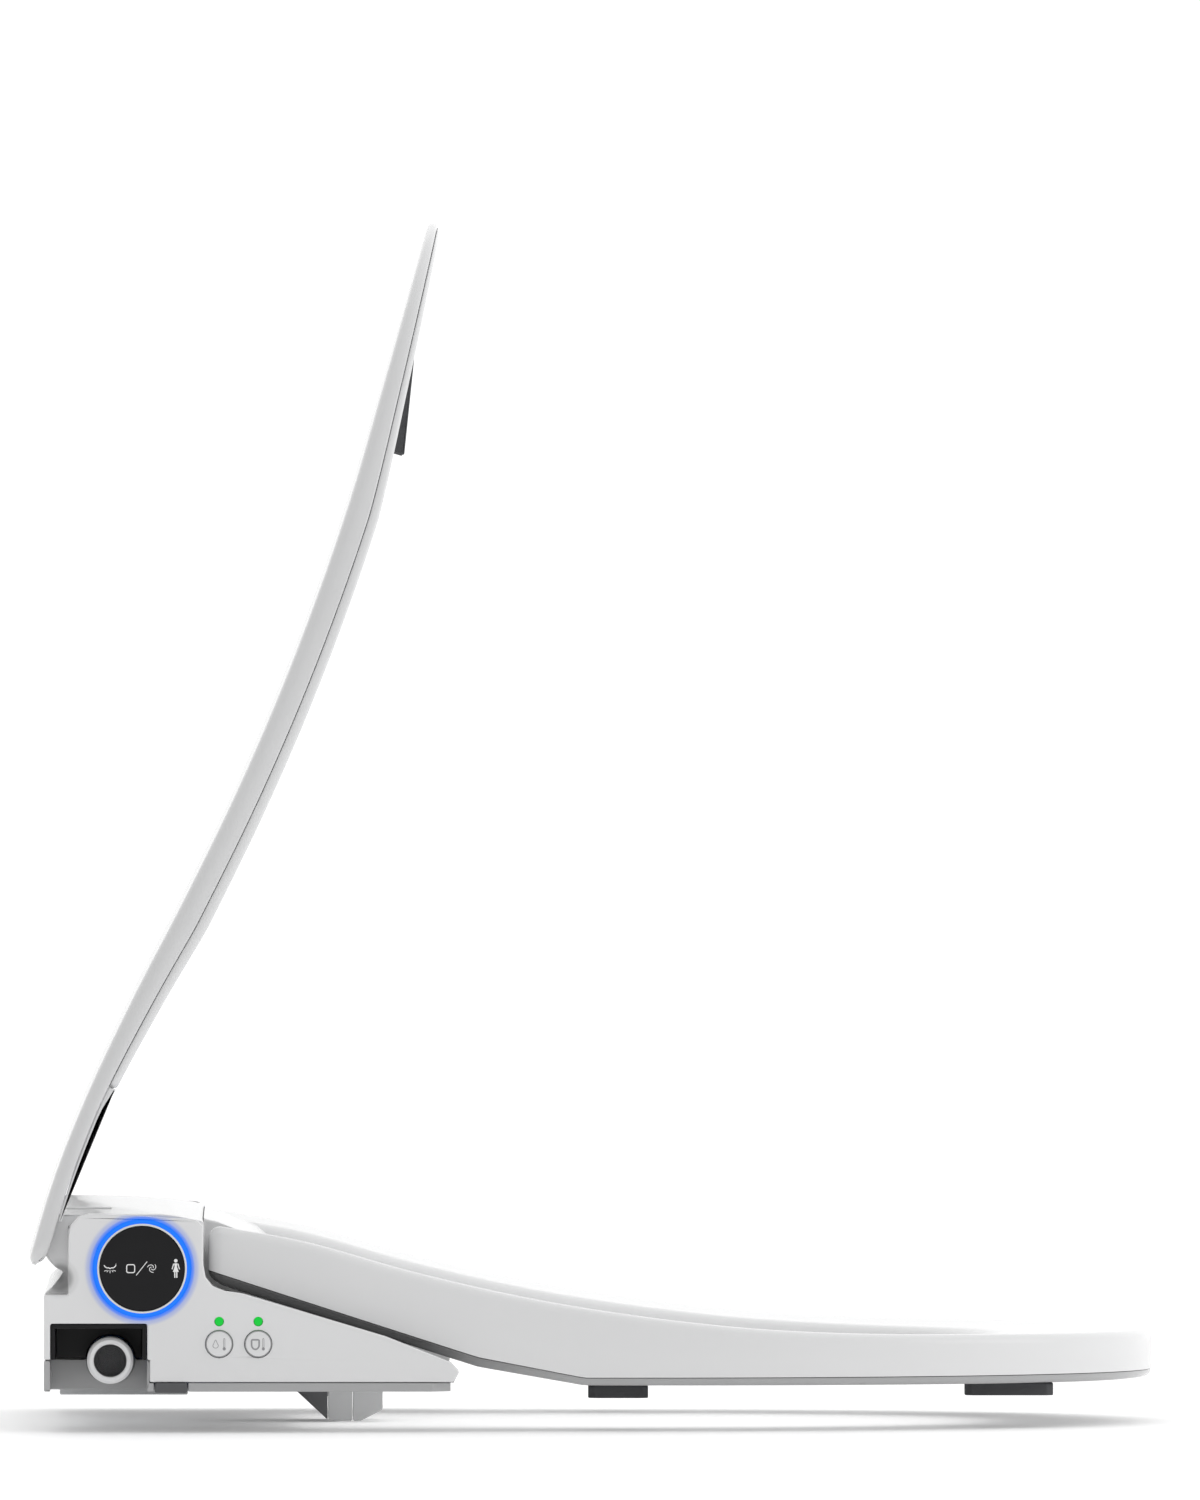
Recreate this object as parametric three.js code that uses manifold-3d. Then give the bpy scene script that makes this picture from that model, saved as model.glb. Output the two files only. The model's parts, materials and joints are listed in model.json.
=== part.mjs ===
// Electric bidet seat: a main unit on a quick-release mounting plate, a hinged heated seat,
// a hinged lid, two sliding spray wands, a side control knob and two side buttons.
//
// Units are millimetres. +Z is up, the front of the seat points to -Y and the control side is -X.
// The origin lies on the underside of the mounting plate, on the line of the two fixing bolts.
// Side outlines are lists of [forward, height]: forward is the distance in front of the bolt line.
import * as THREE from 'three';
import { mergeVertices } from 'three/addons/utils/BufferGeometryUtils.js';
import Module from 'manifold-3d';

const wasm = await Module();
wasm.setup();

// ---------------------------------------------------------------- driving dimensions

const GAP = 0.3; // between pieces that sit against each other
const RUNNING = 0.4; // radial clearance round pins and shafts
const FAR = 600; // longer than anything cut with it

// main unit
const BODY_HALF_WIDTH = 196;
const BODY_REAR = -34.5; // forward position of the rear face
const BLOCK_FRONT = 37.3; // front of the two side blocks
const BASE_Z = 4; // underside of the base tray above the bowl's rim
const FLOOR = 3; // thickness of the tray's floor
const SIDE_SEAM_Z = 8; // top of the tray's wall along the front and the arms
const REAR_SEAM_Z = 18; // top of the tray's wall round the rear
const SEAM_STEP = 13; // forward position where the seam steps down
const LEDGE_Z = 47.7; // ledge behind the lid's hinge
const SEAT_REAR_GAP = 2.2; // between the side blocks and the seat
const SHELL_WALL = 2.6;
const CHEEK = 5.5; // thickness of the outer cheeks beside the lid
const RABBET = 10; // width of the channel that takes the lid's rim
const NOSE_HALF_WIDTH = 114;
const NOSE_FRONT = 84;
const ARM_WIDTH = 36; // of the two arms under the seat
const ARM_INNER = BODY_HALF_WIDTH - ARM_WIDTH;
const ARM_TIP = 152.6; // forward end of the arms
const CROWN_Z = 87.5; // top of the dome on the centre line
const CROWN_DROP = 4; // how far the dome falls towards its sides

// hinges
const LID_HINGE = [-20, 72];
const LID_REST_ANGLE = 73.7; // degrees above the closed lid
const SEAT_REAR = BLOCK_FRONT + SEAT_REAR_GAP;
const SEAT_HINGE = [SEAT_REAR + 9.9, 67];
const BARREL_R = 15.5; // rounded rear of the dome, concentric with the lid's hinge
const LUG_X = [BODY_HALF_WIDTH - 68, BODY_HALF_WIDTH - 56];
const LUG_R = 9;
const LID_PIN_R = 3.9;
const SEAT_PIN_R = 3.4;
const SEAT_PIN_REACH = 19.5; // how far the seat's pins go into the seat
const LID_DAMPER_R = 6.2;
const SEAT_DAMPER_R = 6;
const LID_DAMPER_LENGTH = 30;
const SEAT_DAMPER_LENGTH = 34;

// lid, measured closed
const LID_SIDE_GAP = 1; // between the lid's rim and the cheeks
const LID_HALF_WIDTH = BODY_HALF_WIDTH - CHEEK - LID_SIDE_GAP;
const LID_FRONT = 467;
const LID_REAR = -36;
const LID_PANEL = 3.2; // thickness of the outer panel
const LID_LINING = 2.5; // thickness of the inner panel
const LID_RIM = 4.2; // thickness of the outer panel's rim
const LID_BUMPER_X = 100;
const LID_BUMPER_GAP = 0.6; // above the closed seat
const LID_BUMPER = [361, 409]; // rear and front ends
const LID_BUMPER_WIDTH = 16;

// seat
const SEAT_INSET = 14; // from the unit's side face to the seat's widest place
const SEAT_HALF_WIDTH = BODY_HALF_WIDTH - SEAT_INSET;
const WIDEST = 215; // forward position of the lid's and the seat's greatest width
const SEAT_REAR_HALF = SEAT_HALF_WIDTH - 6;
const SEAT_FRONT = 469.6;
const SEAT_SIDE_GAP = 2.5; // between the nose and the seat's two rear ends
const HOLE_HALF_WIDTH = 112;
const HOLE_FRONT = 392;
const SEAT_WALL = 3.5;
const SEAT_FLAT_Z = 9.7; // seam height along the flat front part
const SEAT_BOTTOM_Z = 5.9;

// side controls
const KNOB_R = 20.2;
const KNOB_FACE_R = KNOB_R - 1;
const LIGHT_RING_R = KNOB_R + 1.5;
const BAY_TOP = 34.7; // top of the inlet's bay, below the knob
const KNOB = [9.7, BAY_TOP + 3.1 + LIGHT_RING_R];
const KNOB_PROUD = 3.5; // how far the knob stands out of the side face
const KNOB_TRAVEL = 1.5;
const KNOB_RECESS = 3.2; // depth of the round recess behind it
const SPINDLE_R = 3.9;
const ENCODER_DEPTH = 20; // from the side face to the end of the knob's spindle
const BUTTONS = [44.4, 62]; // forward positions
const BUTTON_Z = 25.5;
const BUTTON_R = 6;
const BUTTON_PROUD = 0.9;
const LED_Z = 35.6;
const LED_R = 1.9;
const BOARD_DEPTH = 14.4; // from the side face to the button board

// water inlet in its bay at the rear of the control side
const BAY = [-31.7, 12];
const BAY_DEPTH = 37.7;
const INLET = [-4.7, 17.8];
const INLET_R = 10.48; // G1/2 thread
const INLET_BORE_R = 7.4;
const INLET_LENGTH = 27;

// mounting plate
const PLATE_HALF_WIDTH = 98;
const PLATE = [-28, 30]; // rear and front edges
const PLATE_HALF_BOLTS = 70; // fixing bolts are 140 apart
const BOLT_SLOT = [9, 30]; // width and length
const BOLT_POCKET = [18, 39];
const RAIL_NECK = 84;
const RAIL_HALF = 92;
const RAIL_TOP = 10.5;
const HOOD_TOP = RAIL_TOP + 2.9; // top of the tray's hood over the rails
const DECK = HOOD_TOP + 1.6; // where the inner pieces stand
const RELEASE = [15.5, 30]; // rear and front ends of the release tab

// spray wands
const WAND_PITCH = 32; // degrees below level
const WAND_REAR = [5, 56.4]; // rear end of the wands' axis at rest
const WAND_LENGTH = 94;
const WAND_R = 5;
const WAND_X = WAND_R + 4.5;
const TIP_LENGTH = 14;
const GUIDE_HALF_WIDTH = WAND_X + WAND_R + 5.5;
const GUIDE = [28, 80]; // along the wand, from its rear end
const PINION_R = 6;
const PINION_AT = 22;
const TROUGH_HALF_WIDTH = WAND_X + WAND_R + 9.5;
const TROUGH_WALL = 2.5;
const NOZZLE_BAY = TROUGH_HALF_WIDTH + 4.5; // half width of the gap in the unit for the wands
const GUARD_BOTTOM = -14.1;
const GUARD_TOP = 3.6;
const GUARD = [93.8, 105.1, 118.6]; // rear end, seam and front end

// pieces inside the unit
const SERVICE_X = -GUIDE_HALF_WIDTH - 20; // where the water pieces start, beside the wands' motor
const GLAND = [-21, 34];
const GLAND_R = 6.4;
const GLAND_FLANGE_R = 9;
const CORD_R = 3.4;
const DRYER_X = [42, 62];
const DRYER_Z = [DECK, DECK + 18];
const FAN = [8, 37];
const FAN_X = [68, 98];
const FAN_R = 21;
const MOTOR_R = 13;
const SCRUBBER = [10, 52];
const SCRUBBER_X = [BODY_HALF_WIDTH - 32, BODY_HALF_WIDTH - 8];
const SHAFT_R = 1.5;

// ---------------------------------------------------------------- materials

function finish(color, roughness, metalness = 0) {
  return new THREE.MeshStandardMaterial({ color, roughness, metalness });
}

const WHITE = finish(0xf1f2f3, 0.25);
const LIGHT_GREY = finish(0xd4d6d8, 0.4);
const MID_GREY = finish(0x8b8d90, 0.5);
const DARK_GREY = finish(0x4a4c4f, 0.6);
const BLACK = finish(0x0e0f10, 0.12);
const RUBBER = finish(0x3a3b3d, 0.9);
const BLUE = finish(0x1f7cf5, 0.3);
const GREEN = finish(0x12c43a, 0.3);
const STEEL = finish(0xb9bcc0, 0.3, 1);
const BOARD = finish(0x1f6a3b, 0.5);
const FOIL = finish(0xc4c6c9, 0.35, 1);
const CARBON = finish(0x202122, 0.95);

// ---------------------------------------------------------------- solids from three.js geometry

/** A closed three.js geometry as a manifold solid. */
function solid(geometry) {
  const bare = geometry.clone();
  bare.deleteAttribute('normal');
  bare.deleteAttribute('uv');
  const merged = mergeVertices(bare, 1e-4);
  const kept = [];
  const index = merged.index.array;
  for (let i = 0; i < index.length; i += 3) {
    const [a, b, c] = [index[i], index[i + 1], index[i + 2]];
    if (a !== b && b !== c && c !== a) kept.push(a, b, c);
  }
  return new wasm.Manifold(new wasm.Mesh({
    numProp: 3,
    vertProperties: new Float32Array(merged.attributes.position.array),
    triVerts: new Uint32Array(kept),
  }));
}

/** A manifold solid as a three.js geometry. */
function geometryOf(shape) {
  const mesh = shape.getMesh();
  const geometry = new THREE.BufferGeometry();
  geometry.setAttribute('position', new THREE.BufferAttribute(mesh.vertProperties, 3));
  geometry.setIndex(new THREE.BufferAttribute(mesh.triVerts, 1));
  geometry.computeVertexNormals();
  return geometry;
}

function joined(...shapes) {
  return shapes.reduce((all, next) => all.add(next));
}

/** An outline carried along a straight line; axes are where its two directions and its depth point. */
function extruded(points, depth, axes, origin) {
  const shape = new THREE.Shape(points.map(([a, b]) => new THREE.Vector2(a, b)));
  const geometry = new THREE.ExtrudeGeometry(shape, { depth, bevelEnabled: false });
  const place = new THREE.Matrix4().makeBasis(...axes).setPosition(...origin);
  return solid(geometry.applyMatrix4(place));
}

const X = new THREE.Vector3(1, 0, 0);
const Z = new THREE.Vector3(0, 0, 1);
const Y = new THREE.Vector3(0, 1, 0);
const FRONT = new THREE.Vector3(0, -1, 0);
const MINUS_X = new THREE.Vector3(-1, 0, 0);

/** A side outline, [forward, height], between two places across the width. */
function sideSlab(points, x0, x1) {
  return extruded(points, x1 - x0, [FRONT, Z, MINUS_X], [x1, 0, 0]);
}

/** A plan outline, [across, forward], between two heights. */
function planSlab(points, z0, z1) {
  return extruded(points.map(([x, f]) => [x, -f]), z1 - z0, [X, Y, Z], [0, 0, z0]);
}

/** A front outline, [across, height], between two forward positions. */
function frontSlab(points, f0, f1) {
  return extruded(points, f1 - f0, [X, Z, FRONT], [0, -f0, 0]);
}

function box(x0, x1, f0, f1, z0, z1) {
  const geometry = new THREE.BoxGeometry(x1 - x0, f1 - f0, z1 - z0);
  return solid(geometry.translate((x0 + x1) / 2, -(f0 + f1) / 2, (z0 + z1) / 2));
}

/** The same box on both sides of the centre line. */
function boxes(x0, x1, f0, f1, z0, z1) {
  return joined(box(x0, x1, f0, f1, z0, z1), box(-x1, -x0, f0, f1, z0, z1));
}

/** A round bar across the width, centred at [forward, height]. */
function bar(x0, x1, [f, z], r, sides = 20) {
  const geometry = new THREE.CylinderGeometry(r, r, x1 - x0, sides).rotateZ(Math.PI / 2);
  return solid(geometry.translate((x0 + x1) / 2, -f, z));
}

function post(x, f, z0, z1, r, sides = 20) {
  const geometry = new THREE.CylinderGeometry(r, r, z1 - z0, sides).rotateX(Math.PI / 2);
  return solid(geometry.translate(x, -f, (z0 + z1) / 2));
}

/** A slot with round ends that runs front to back. */
function slot(x, f, [width, length], z0, z1) {
  const half = (length - width) / 2;
  return joined(
    box(x - width / 2, x + width / 2, f - half, f + half, z0, z1),
    post(x, f - half, z0, z1, width / 2),
    post(x, f + half, z0, z1, width / 2),
  );
}

// ---------------------------------------------------------------- outlines

/** The points of a smooth curve through the given ones. */
function smooth(points, count) {
  const curve = new THREE.SplineCurve(points.map(([a, b]) => new THREE.Vector2(a, b)));
  return curve.getPoints(count).map((p) => [p.x, p.y]);
}

function arc([f, z], r, from, to, steps) {
  return Array.from({ length: steps + 1 }, (_, i) => {
    const angle = THREE.MathUtils.degToRad(from + ((to - from) * i) / steps);
    return [f + r * Math.cos(angle), z + r * Math.sin(angle)];
  });
}

/** An outline moved inwards by a distance, for a convex or gently dented polygon. */
function inset(points, distance) {
  const turn = Math.sign(THREE.ShapeUtils.area(points.map(([a, b]) => new THREE.Vector2(a, b))));
  return points.map((point, i) => {
    const before = points[(i + points.length - 1) % points.length];
    const after = points[(i + 1) % points.length];
    const [n, m] = [[before, point], [point, after]].map(([p, q]) => {
      const length = Math.hypot(q[0] - p[0], q[1] - p[1]);
      return [(-turn * (q[1] - p[1])) / length, (turn * (q[0] - p[0])) / length];
    });
    const share = distance / (1 + n[0] * m[0] + n[1] * m[1]);
    return [point[0] + share * (n[0] + m[0]), point[1] + share * (n[1] + m[1])];
  });
}

/** Linear interpolation along a list of [forward, height]. */
function heightAt(points, forward) {
  const next = Math.max(1, points.findIndex(([f]) => f >= forward));
  const [[f0, z0], [f1, z1]] = [points[next - 1], points[next]];
  return z0 + ((z1 - z0) * (forward - f0)) / (f1 - f0);
}

/** A band that hangs between two depths below a curve. */
function band(curve, top, bottom) {
  const upper = curve.map(([f, z]) => [f, z - top(f)]);
  const lower = curve.map(([f, z]) => [f, z - bottom(f)]).reverse();
  return [...upper, ...lower];
}

/** Right half of a seat-shaped plan: a side with one shoulder, then a rounded front. */
function halfPlan({ rear, rearHalf, shoulder, widest, half, front, power, steps }) {
  const side = [[rearHalf, rear], shoulder];
  for (let i = 0; i <= steps; i += 1) {
    const across = Math.cos((i / steps) * (Math.PI / 2));
    const along = Math.sin((i / steps) * (Math.PI / 2));
    side.push([half * across ** (2 / power), widest + (front - widest) * along ** (2 / power)]);
  }
  return side;
}

function wholePlan(shape) {
  const right = halfPlan(shape);
  const left = right.slice(0, -1).reverse().map(([x, f]) => [-x, f]);
  return [...right, ...left];
}

const depths = (stops) => (f) => {
  if (f <= stops[0][0]) return stops[0][1];
  if (f >= stops[stops.length - 1][0]) return stops[stops.length - 1][1];
  return heightAt(stops, f);
};

// top of the closed lid, and how deep its rim and its lining's lip hang below it
const LID_TOP = smooth([
  [-35, 91], [0, 90.8], [42, 87.1], [91, 79.4], [141, 69.6], [190, 61.1],
  [239, 54.7], [287, 50.5], [334, 48.2], [390, 47.9], [LID_FRONT, 48],
], 18);
const rimDepth = depths([[40, 7], [130, 10.4], [330, 10.4], [LID_FRONT, 4.2]]);
const lipDepth = depths([[40, 10.5], [130, 15.7], [330, 15], [LID_FRONT, 6]]);

// seat, from the rounded rear end to the front
const SEAT_TOP = smooth([
  [SEAT_REAR + 7.2, 77.6], [80, 71.7], [131.7, 57.5], [183, 45.8], [235, 37.3],
  [287, 31.6], [338, 29], [390, 28.3], [461, 27.8],
], 15);
const SEAT_SEAM = [[SEAT_REAR, 58.2], [161, 19], [209, SEAT_FLAT_Z], [SEAT_FRONT, SEAT_FLAT_Z]];

function lidPlan(edge) {
  return wholePlan({
    rear: LID_REAR, rearHalf: LID_HALF_WIDTH - edge, shoulder: [LID_HALF_WIDTH - edge, 90],
    widest: WIDEST, half: LID_HALF_WIDTH - edge, front: LID_FRONT - edge, power: 2.3, steps: 10,
  });
}

function seatPlan(edge) {
  return wholePlan({
    rear: SEAT_REAR, rearHalf: SEAT_REAR_HALF - edge, shoulder: [SEAT_HALF_WIDTH - 2 - edge, 98],
    widest: WIDEST, half: SEAT_HALF_WIDTH - edge, front: SEAT_FRONT - edge, power: 2.3, steps: 10,
  });
}

/** The seat's opening, which runs out at the rear round the unit's nose. */
function seatHole(edge) {
  const beside = NOSE_HALF_WIDTH + SEAT_SIDE_GAP + edge;
  return wholePlan({
    rear: 0, rearHalf: beside, shoulder: [beside, NOSE_FRONT + 12], widest: WIDEST + 15,
    half: HOLE_HALF_WIDTH + edge, front: HOLE_FRONT + edge, power: 2.3, steps: 9,
  });
}

// ---------------------------------------------------------------- main unit

const COVER_Z = SIDE_SEAM_Z + GAP;
const COVER_REAR_Z = REAR_SEAM_Z + GAP;
const ARM_TOP = [
  [ARM_TIP, 13.1], [ARM_TIP - 3.9, 17.3], [119.4, 28.9], [BLOCK_FRONT + 17.5, 48.3],
  [BLOCK_FRONT + 9.7, 49.4], [BLOCK_FRONT + 4.2, 51.5], [BLOCK_FRONT + 1, 55.5], [BLOCK_FRONT, 61],
];
const SKIRT = [
  [BODY_REAR, COVER_REAR_Z], [SEAM_STEP, COVER_REAR_Z], [SEAM_STEP, COVER_Z],
];
const BARREL = [
  ...arc(LID_HINGE, BARREL_R, 90, 248, 10), [-28, 54.4], [-31, 50.8], [BODY_REAR, LEDGE_Z],
];
const CHEEK_SIDE = [
  ...SKIRT, [ARM_TIP - 2.5, COVER_Z], ...ARM_TOP, [BLOCK_FRONT, 78.5], [BLOCK_FRONT - 3, 81.5],
  [-14, 84.4], [-19, 83], [-22.5, 79], [-23.5, 73], [-23.5, LEDGE_Z], [BODY_REAR, LEDGE_Z],
];
const INNER_ARM_TOP = [
  [ARM_TIP - 2.2, 12], [ARM_TIP - 7.6, 17.6], [BLOCK_FRONT + 17.5, 46.8],
  [BLOCK_FRONT + 9.7, 48.9], [BLOCK_FRONT + 4.2, 51.5], [BLOCK_FRONT + 1, 55.5],
];
const RABBET_SIDE = [
  ...SKIRT, [ARM_TIP - 2.5, COVER_Z], ...INNER_ARM_TOP, [BLOCK_FRONT, 61], [BLOCK_FRONT, 76.3],
  [-21, 79.8],
  [-23.5, 77], [-23.5, LEDGE_Z], [BODY_REAR, LEDGE_Z],
];
const BLOCK_SIDE = [
  ...SKIRT, [BLOCK_FRONT, COVER_Z], [BLOCK_FRONT, 80.4], [24, 83], ...BARREL,
];
const NOSE_SIDE = [
  ...SKIRT, [NOSE_FRONT, COVER_Z], [NOSE_FRONT, 30], [NOSE_FRONT - 6, 58],
  [SEAT_HINGE[0] + 11.6, 72], [SEAT_HINGE[0] - 6.4, 79], [24, 83],
  ...BARREL,
];
const RABBET_OUTER = BODY_HALF_WIDTH - CHEEK;
const RABBET_INNER = RABBET_OUTER - RABBET;

/** The dome's cross-section: highest on the centre line, falling towards the sides. */
function crown(lowered) {
  const points = [[RABBET_INNER + 1, -FAR], [-RABBET_INNER - 1, -FAR]];
  for (let x = -RABBET_INNER - 1; x < RABBET_INNER + 2; x += (RABBET_INNER + 1) / 6) {
    points.push([x, CROWN_Z - lowered - CROWN_DROP * (x / RABBET_INNER) ** 2]);
  }
  return frontSlab(points, -FAR, FAR);
}

/** One slab on each side of the centre line. */
function sideSlabs(points, x0, x1) {
  return joined(sideSlab(points, x0, x1), sideSlab(points, -x1, -x0));
}

function coverOutside() {
  const dome = joined(
    sideSlab(BLOCK_SIDE, -RABBET_INNER, RABBET_INNER),
    sideSlab(NOSE_SIDE, -NOSE_HALF_WIDTH, NOSE_HALF_WIDTH),
  ).intersect(crown(0));
  const inside = box(-ARM_INNER, ARM_INNER, BLOCK_FRONT, FAR, -FAR, FAR);
  const rabbets = sideSlabs(RABBET_SIDE, ARM_INNER, RABBET_OUTER + 0.5).subtract(inside);
  return joined(dome, rabbets, sideSlabs(CHEEK_SIDE, RABBET_OUTER, BODY_HALF_WIDTH));
}

function coverInside() {
  const wall = SHELL_WALL;
  const rear = BODY_REAR + wall;
  const dome = joined(
    sideSlab(inset(BLOCK_SIDE, wall), wall - RABBET_INNER, RABBET_INNER - wall),
    sideSlab(inset(NOSE_SIDE, wall), wall - NOSE_HALF_WIDTH, NOSE_HALF_WIDTH - wall),
  ).intersect(crown(wall));
  const arms = sideSlabs(inset(RABBET_SIDE, wall), ARM_INNER + wall, RABBET_OUTER - 0.5);
  const mouth = joined(
    box(wall - RABBET_OUTER, RABBET_OUTER - wall, rear, BLOCK_FRONT - wall, -1, 21.5),
    box(wall - NOSE_HALF_WIDTH, NOSE_HALF_WIDTH - wall, rear, NOSE_FRONT - wall, -1, 21.5),
    boxes(ARM_INNER + wall, RABBET_OUTER - 0.5, rear, 100, -1, 21.5),
    boxes(ARM_INNER + wall, RABBET_OUTER - 0.5, rear, ARM_TIP - 8, -1, 11.5),
  );
  return joined(dome, arms, mouth).subtract(lugSlots(2.2));
}

/** Slots in the dome for the lid's two hinge lugs, or the walls round them. */
function lugSlots(wall) {
  const side = 1.5 + wall;
  return boxes(
    LUG_X[0] - side, LUG_X[1] + side, -FAR, LID_HINGE[0] + 15 + wall,
    LID_HINGE[1] - LUG_R - 5 - wall, FAR,
  );
}

function hingeBores() {
  const lid = LID_PIN_R + RUNNING;
  const seat = SEAT_PIN_R + RUNNING;
  return joined(
    bar(LUG_X[0] - 12, LUG_X[1] + 5, LID_HINGE, lid),
    bar(-LUG_X[1] - 5, 12 - LUG_X[0], LID_HINGE, lid),
    bar(NOSE_HALF_WIDTH - 8, NOSE_HALF_WIDTH + 8, SEAT_HINGE, seat),
    bar(-NOSE_HALF_WIDTH - 8, 8 - NOSE_HALF_WIDTH, SEAT_HINGE, seat),
  );
}

function controlHoles() {
  const face = -BODY_HALF_WIDTH;
  const holes = [
    bar(face - 1, face + KNOB_RECESS, KNOB, LIGHT_RING_R + GAP, 32),
    bar(face, face + 12, KNOB, SPINDLE_R + 3.7),
  ];
  for (const forward of BUTTONS) {
    holes.push(bar(face - 1, face + 12, [forward, BUTTON_Z], BUTTON_R + RUNNING));
    holes.push(bar(face - 1, face + 12, [forward, LED_Z], LED_R + GAP, 16));
  }
  return joined(...holes);
}

function bayCut() {
  const face = -BODY_HALF_WIDTH;
  return box(face - 1, face + BAY_DEPTH, BAY[0], BAY[1], -1, BAY_TOP);
}

function topCover() {
  const dryer = box(DRYER_X[0], DRYER_X[1], NOSE_FRONT - 6, FAR, DRYER_Z[0], DRYER_Z[1]);
  const nozzles = box(-NOZZLE_BAY, NOZZLE_BAY, 60, FAR, -1, 22);
  const gland = bar(BODY_HALF_WIDTH - 12, BODY_HALF_WIDTH + 1, GLAND, GLAND_R + GAP);
  return coverOutside().subtract(joined(
    coverInside(), lugSlots(0), hingeBores(), controlHoles(), bayCut(), dryer, nozzles, gland,
  ));
}

const TRAY_HALF_PLAN = [
  [BODY_HALF_WIDTH, BODY_REAR], [BODY_HALF_WIDTH, ARM_TIP - 12],
  [BODY_HALF_WIDTH - 6, ARM_TIP - 4], [ARM_INNER + 8, ARM_TIP - 4], [ARM_INNER, ARM_TIP - 12],
  [ARM_INNER, BLOCK_FRONT], [NOSE_HALF_WIDTH, BLOCK_FRONT], [NOSE_HALF_WIDTH, NOSE_FRONT - 4],
  [NOSE_HALF_WIDTH - 4, NOSE_FRONT],
];
const TRAY_PLAN = [...TRAY_HALF_PLAN, ...TRAY_HALF_PLAN.map(([x, f]) => [-x, f]).reverse()];

function baseTray() {
  const face = -BODY_HALF_WIDTH;
  const outside = planSlab(TRAY_PLAN, BASE_Z, REAR_SEAM_Z);
  const inside = planSlab(inset(TRAY_PLAN, SHELL_WALL), BASE_Z + FLOOR, FAR);
  const overSeam = box(-FAR, FAR, SEAM_STEP, FAR, SIDE_SEAM_Z, FAR);
  const bayWall = box(face, face + BAY_DEPTH + 2.5, BODY_REAR, BAY[1] + 2.5, BASE_Z, REAR_SEAM_Z);
  const coverSide = box(face - 1, face + CHEEK + 1, SEAM_STEP, FAR, SIDE_SEAM_Z, FAR);
  const hood = box(-RAIL_HALF - 3, RAIL_HALF + 3, BODY_REAR, PLATE[1] + 3, BASE_Z, HOOD_TOP);
  const neck = box(
    -RAIL_NECK - 0.5, RAIL_NECK + 0.5, -FAR, PLATE[1] + 0.5, -1, RAIL_TOP,
  );
  const rail = box(
    -RAIL_HALF - 0.5, RAIL_HALF + 0.5, -FAR, PLATE[1] + 0.5, 7.2, RAIL_TOP + 0.4,
  );
  const nozzles = box(-NOZZLE_BAY, NOZZLE_BAY, 50, FAR, -1, FAR);
  const release = box(face - 1, face + 12.5, RELEASE[0] - 0.5, RELEASE[1] + 0.5, -1, FAR);
  const inlet = bar(face + 20, face + BAY_DEPTH + 10, INLET, INLET_R + RUNNING);
  return joined(outside.subtract(joined(inside, overSeam)), bayWall.subtract(coverSide), hood)
    .subtract(joined(bayCut(), neck, rail, nozzles, release, inlet));
}

/** Black liner of the bay's upper half. */
function inletBay() {
  const face = -BODY_HALF_WIDTH;
  const back = face + BAY_DEPTH;
  const outer = box(
    face + 1.5, back + 2.2, BAY[0] + GAP, BAY[1] - GAP, COVER_REAR_Z, BAY_TOP - GAP,
  );
  const inner = box(face, back, BAY[0] + 2.3, BAY[1] - 2.3, -1, BAY_TOP - 2.3);
  const inlet = bar(face + 20, back + 10, INLET, INLET_R + RUNNING);
  return outer.subtract(joined(inner, inlet));
}

function waterInlet() {
  const start = -BODY_HALF_WIDTH + 6;
  const flange = start + INLET_LENGTH + 8;
  const spout = bar(start, flange + 6, INLET, INLET_R, 32);
  const [forward, height] = INLET;
  const bottom = BASE_Z + FLOOR + 2 * GAP;
  const elbow = box(flange + 4, flange + 18, forward - 11, forward + 11, bottom, height + 12);
  return joined(spout, elbow).subtract(bar(start - 1, flange + 12, INLET, INLET_BORE_R, 32));
}

function inletFilter() {
  const at = -BODY_HALF_WIDTH + 18;
  return bar(at, at + 2, INLET, INLET_BORE_R - GAP, 28);
}

function mountingPlate() {
  const plate = joined(
    box(-PLATE_HALF_WIDTH, PLATE_HALF_WIDTH, ...PLATE, 0, BASE_Z - GAP),
    box(-RAIL_NECK, RAIL_NECK, ...PLATE, 1, RAIL_TOP),
    box(-RAIL_HALF, RAIL_HALF, ...PLATE, 7.5, RAIL_TOP),
  );
  const slots = [-PLATE_HALF_BOLTS, PLATE_HALF_BOLTS].flatMap((x) => [
    slot(x, 0, BOLT_SLOT, -1, FAR), slot(x, 0, BOLT_POCKET, 5, FAR),
  ]);
  return plate.subtract(joined(...slots));
}

/** Side tab with its bar, which reaches in over the tray's floor to the plate's rail. */
function releaseButton() {
  const face = -BODY_HALF_WIDTH;
  return joined(
    box(face - 0.6, face + 8.5, ...RELEASE, BASE_Z - 0.5, SIDE_SEAM_Z),
    box(face + 6.5, -RAIL_HALF - 8, 19, 26, BASE_Z + FLOOR + GAP, BASE_Z + FLOOR + 3.3),
    box(face + 6.5, face + 8.5, 19, 26, BASE_Z, BASE_Z + FLOOR + 3.3),
  );
}

// ---------------------------------------------------------------- inside the unit

function lidDamper(side) {
  const start = LUG_X[1] + 4.2;
  const ends = [start * side, (start + LID_DAMPER_LENGTH) * side].sort((a, b) => a - b);
  const bore = [(start - 1) * side, (start + 8) * side].sort((a, b) => a - b);
  return bar(...ends, LID_HINGE, LID_DAMPER_R)
    .subtract(bar(...bore, LID_HINGE, LID_PIN_R + RUNNING));
}

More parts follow.
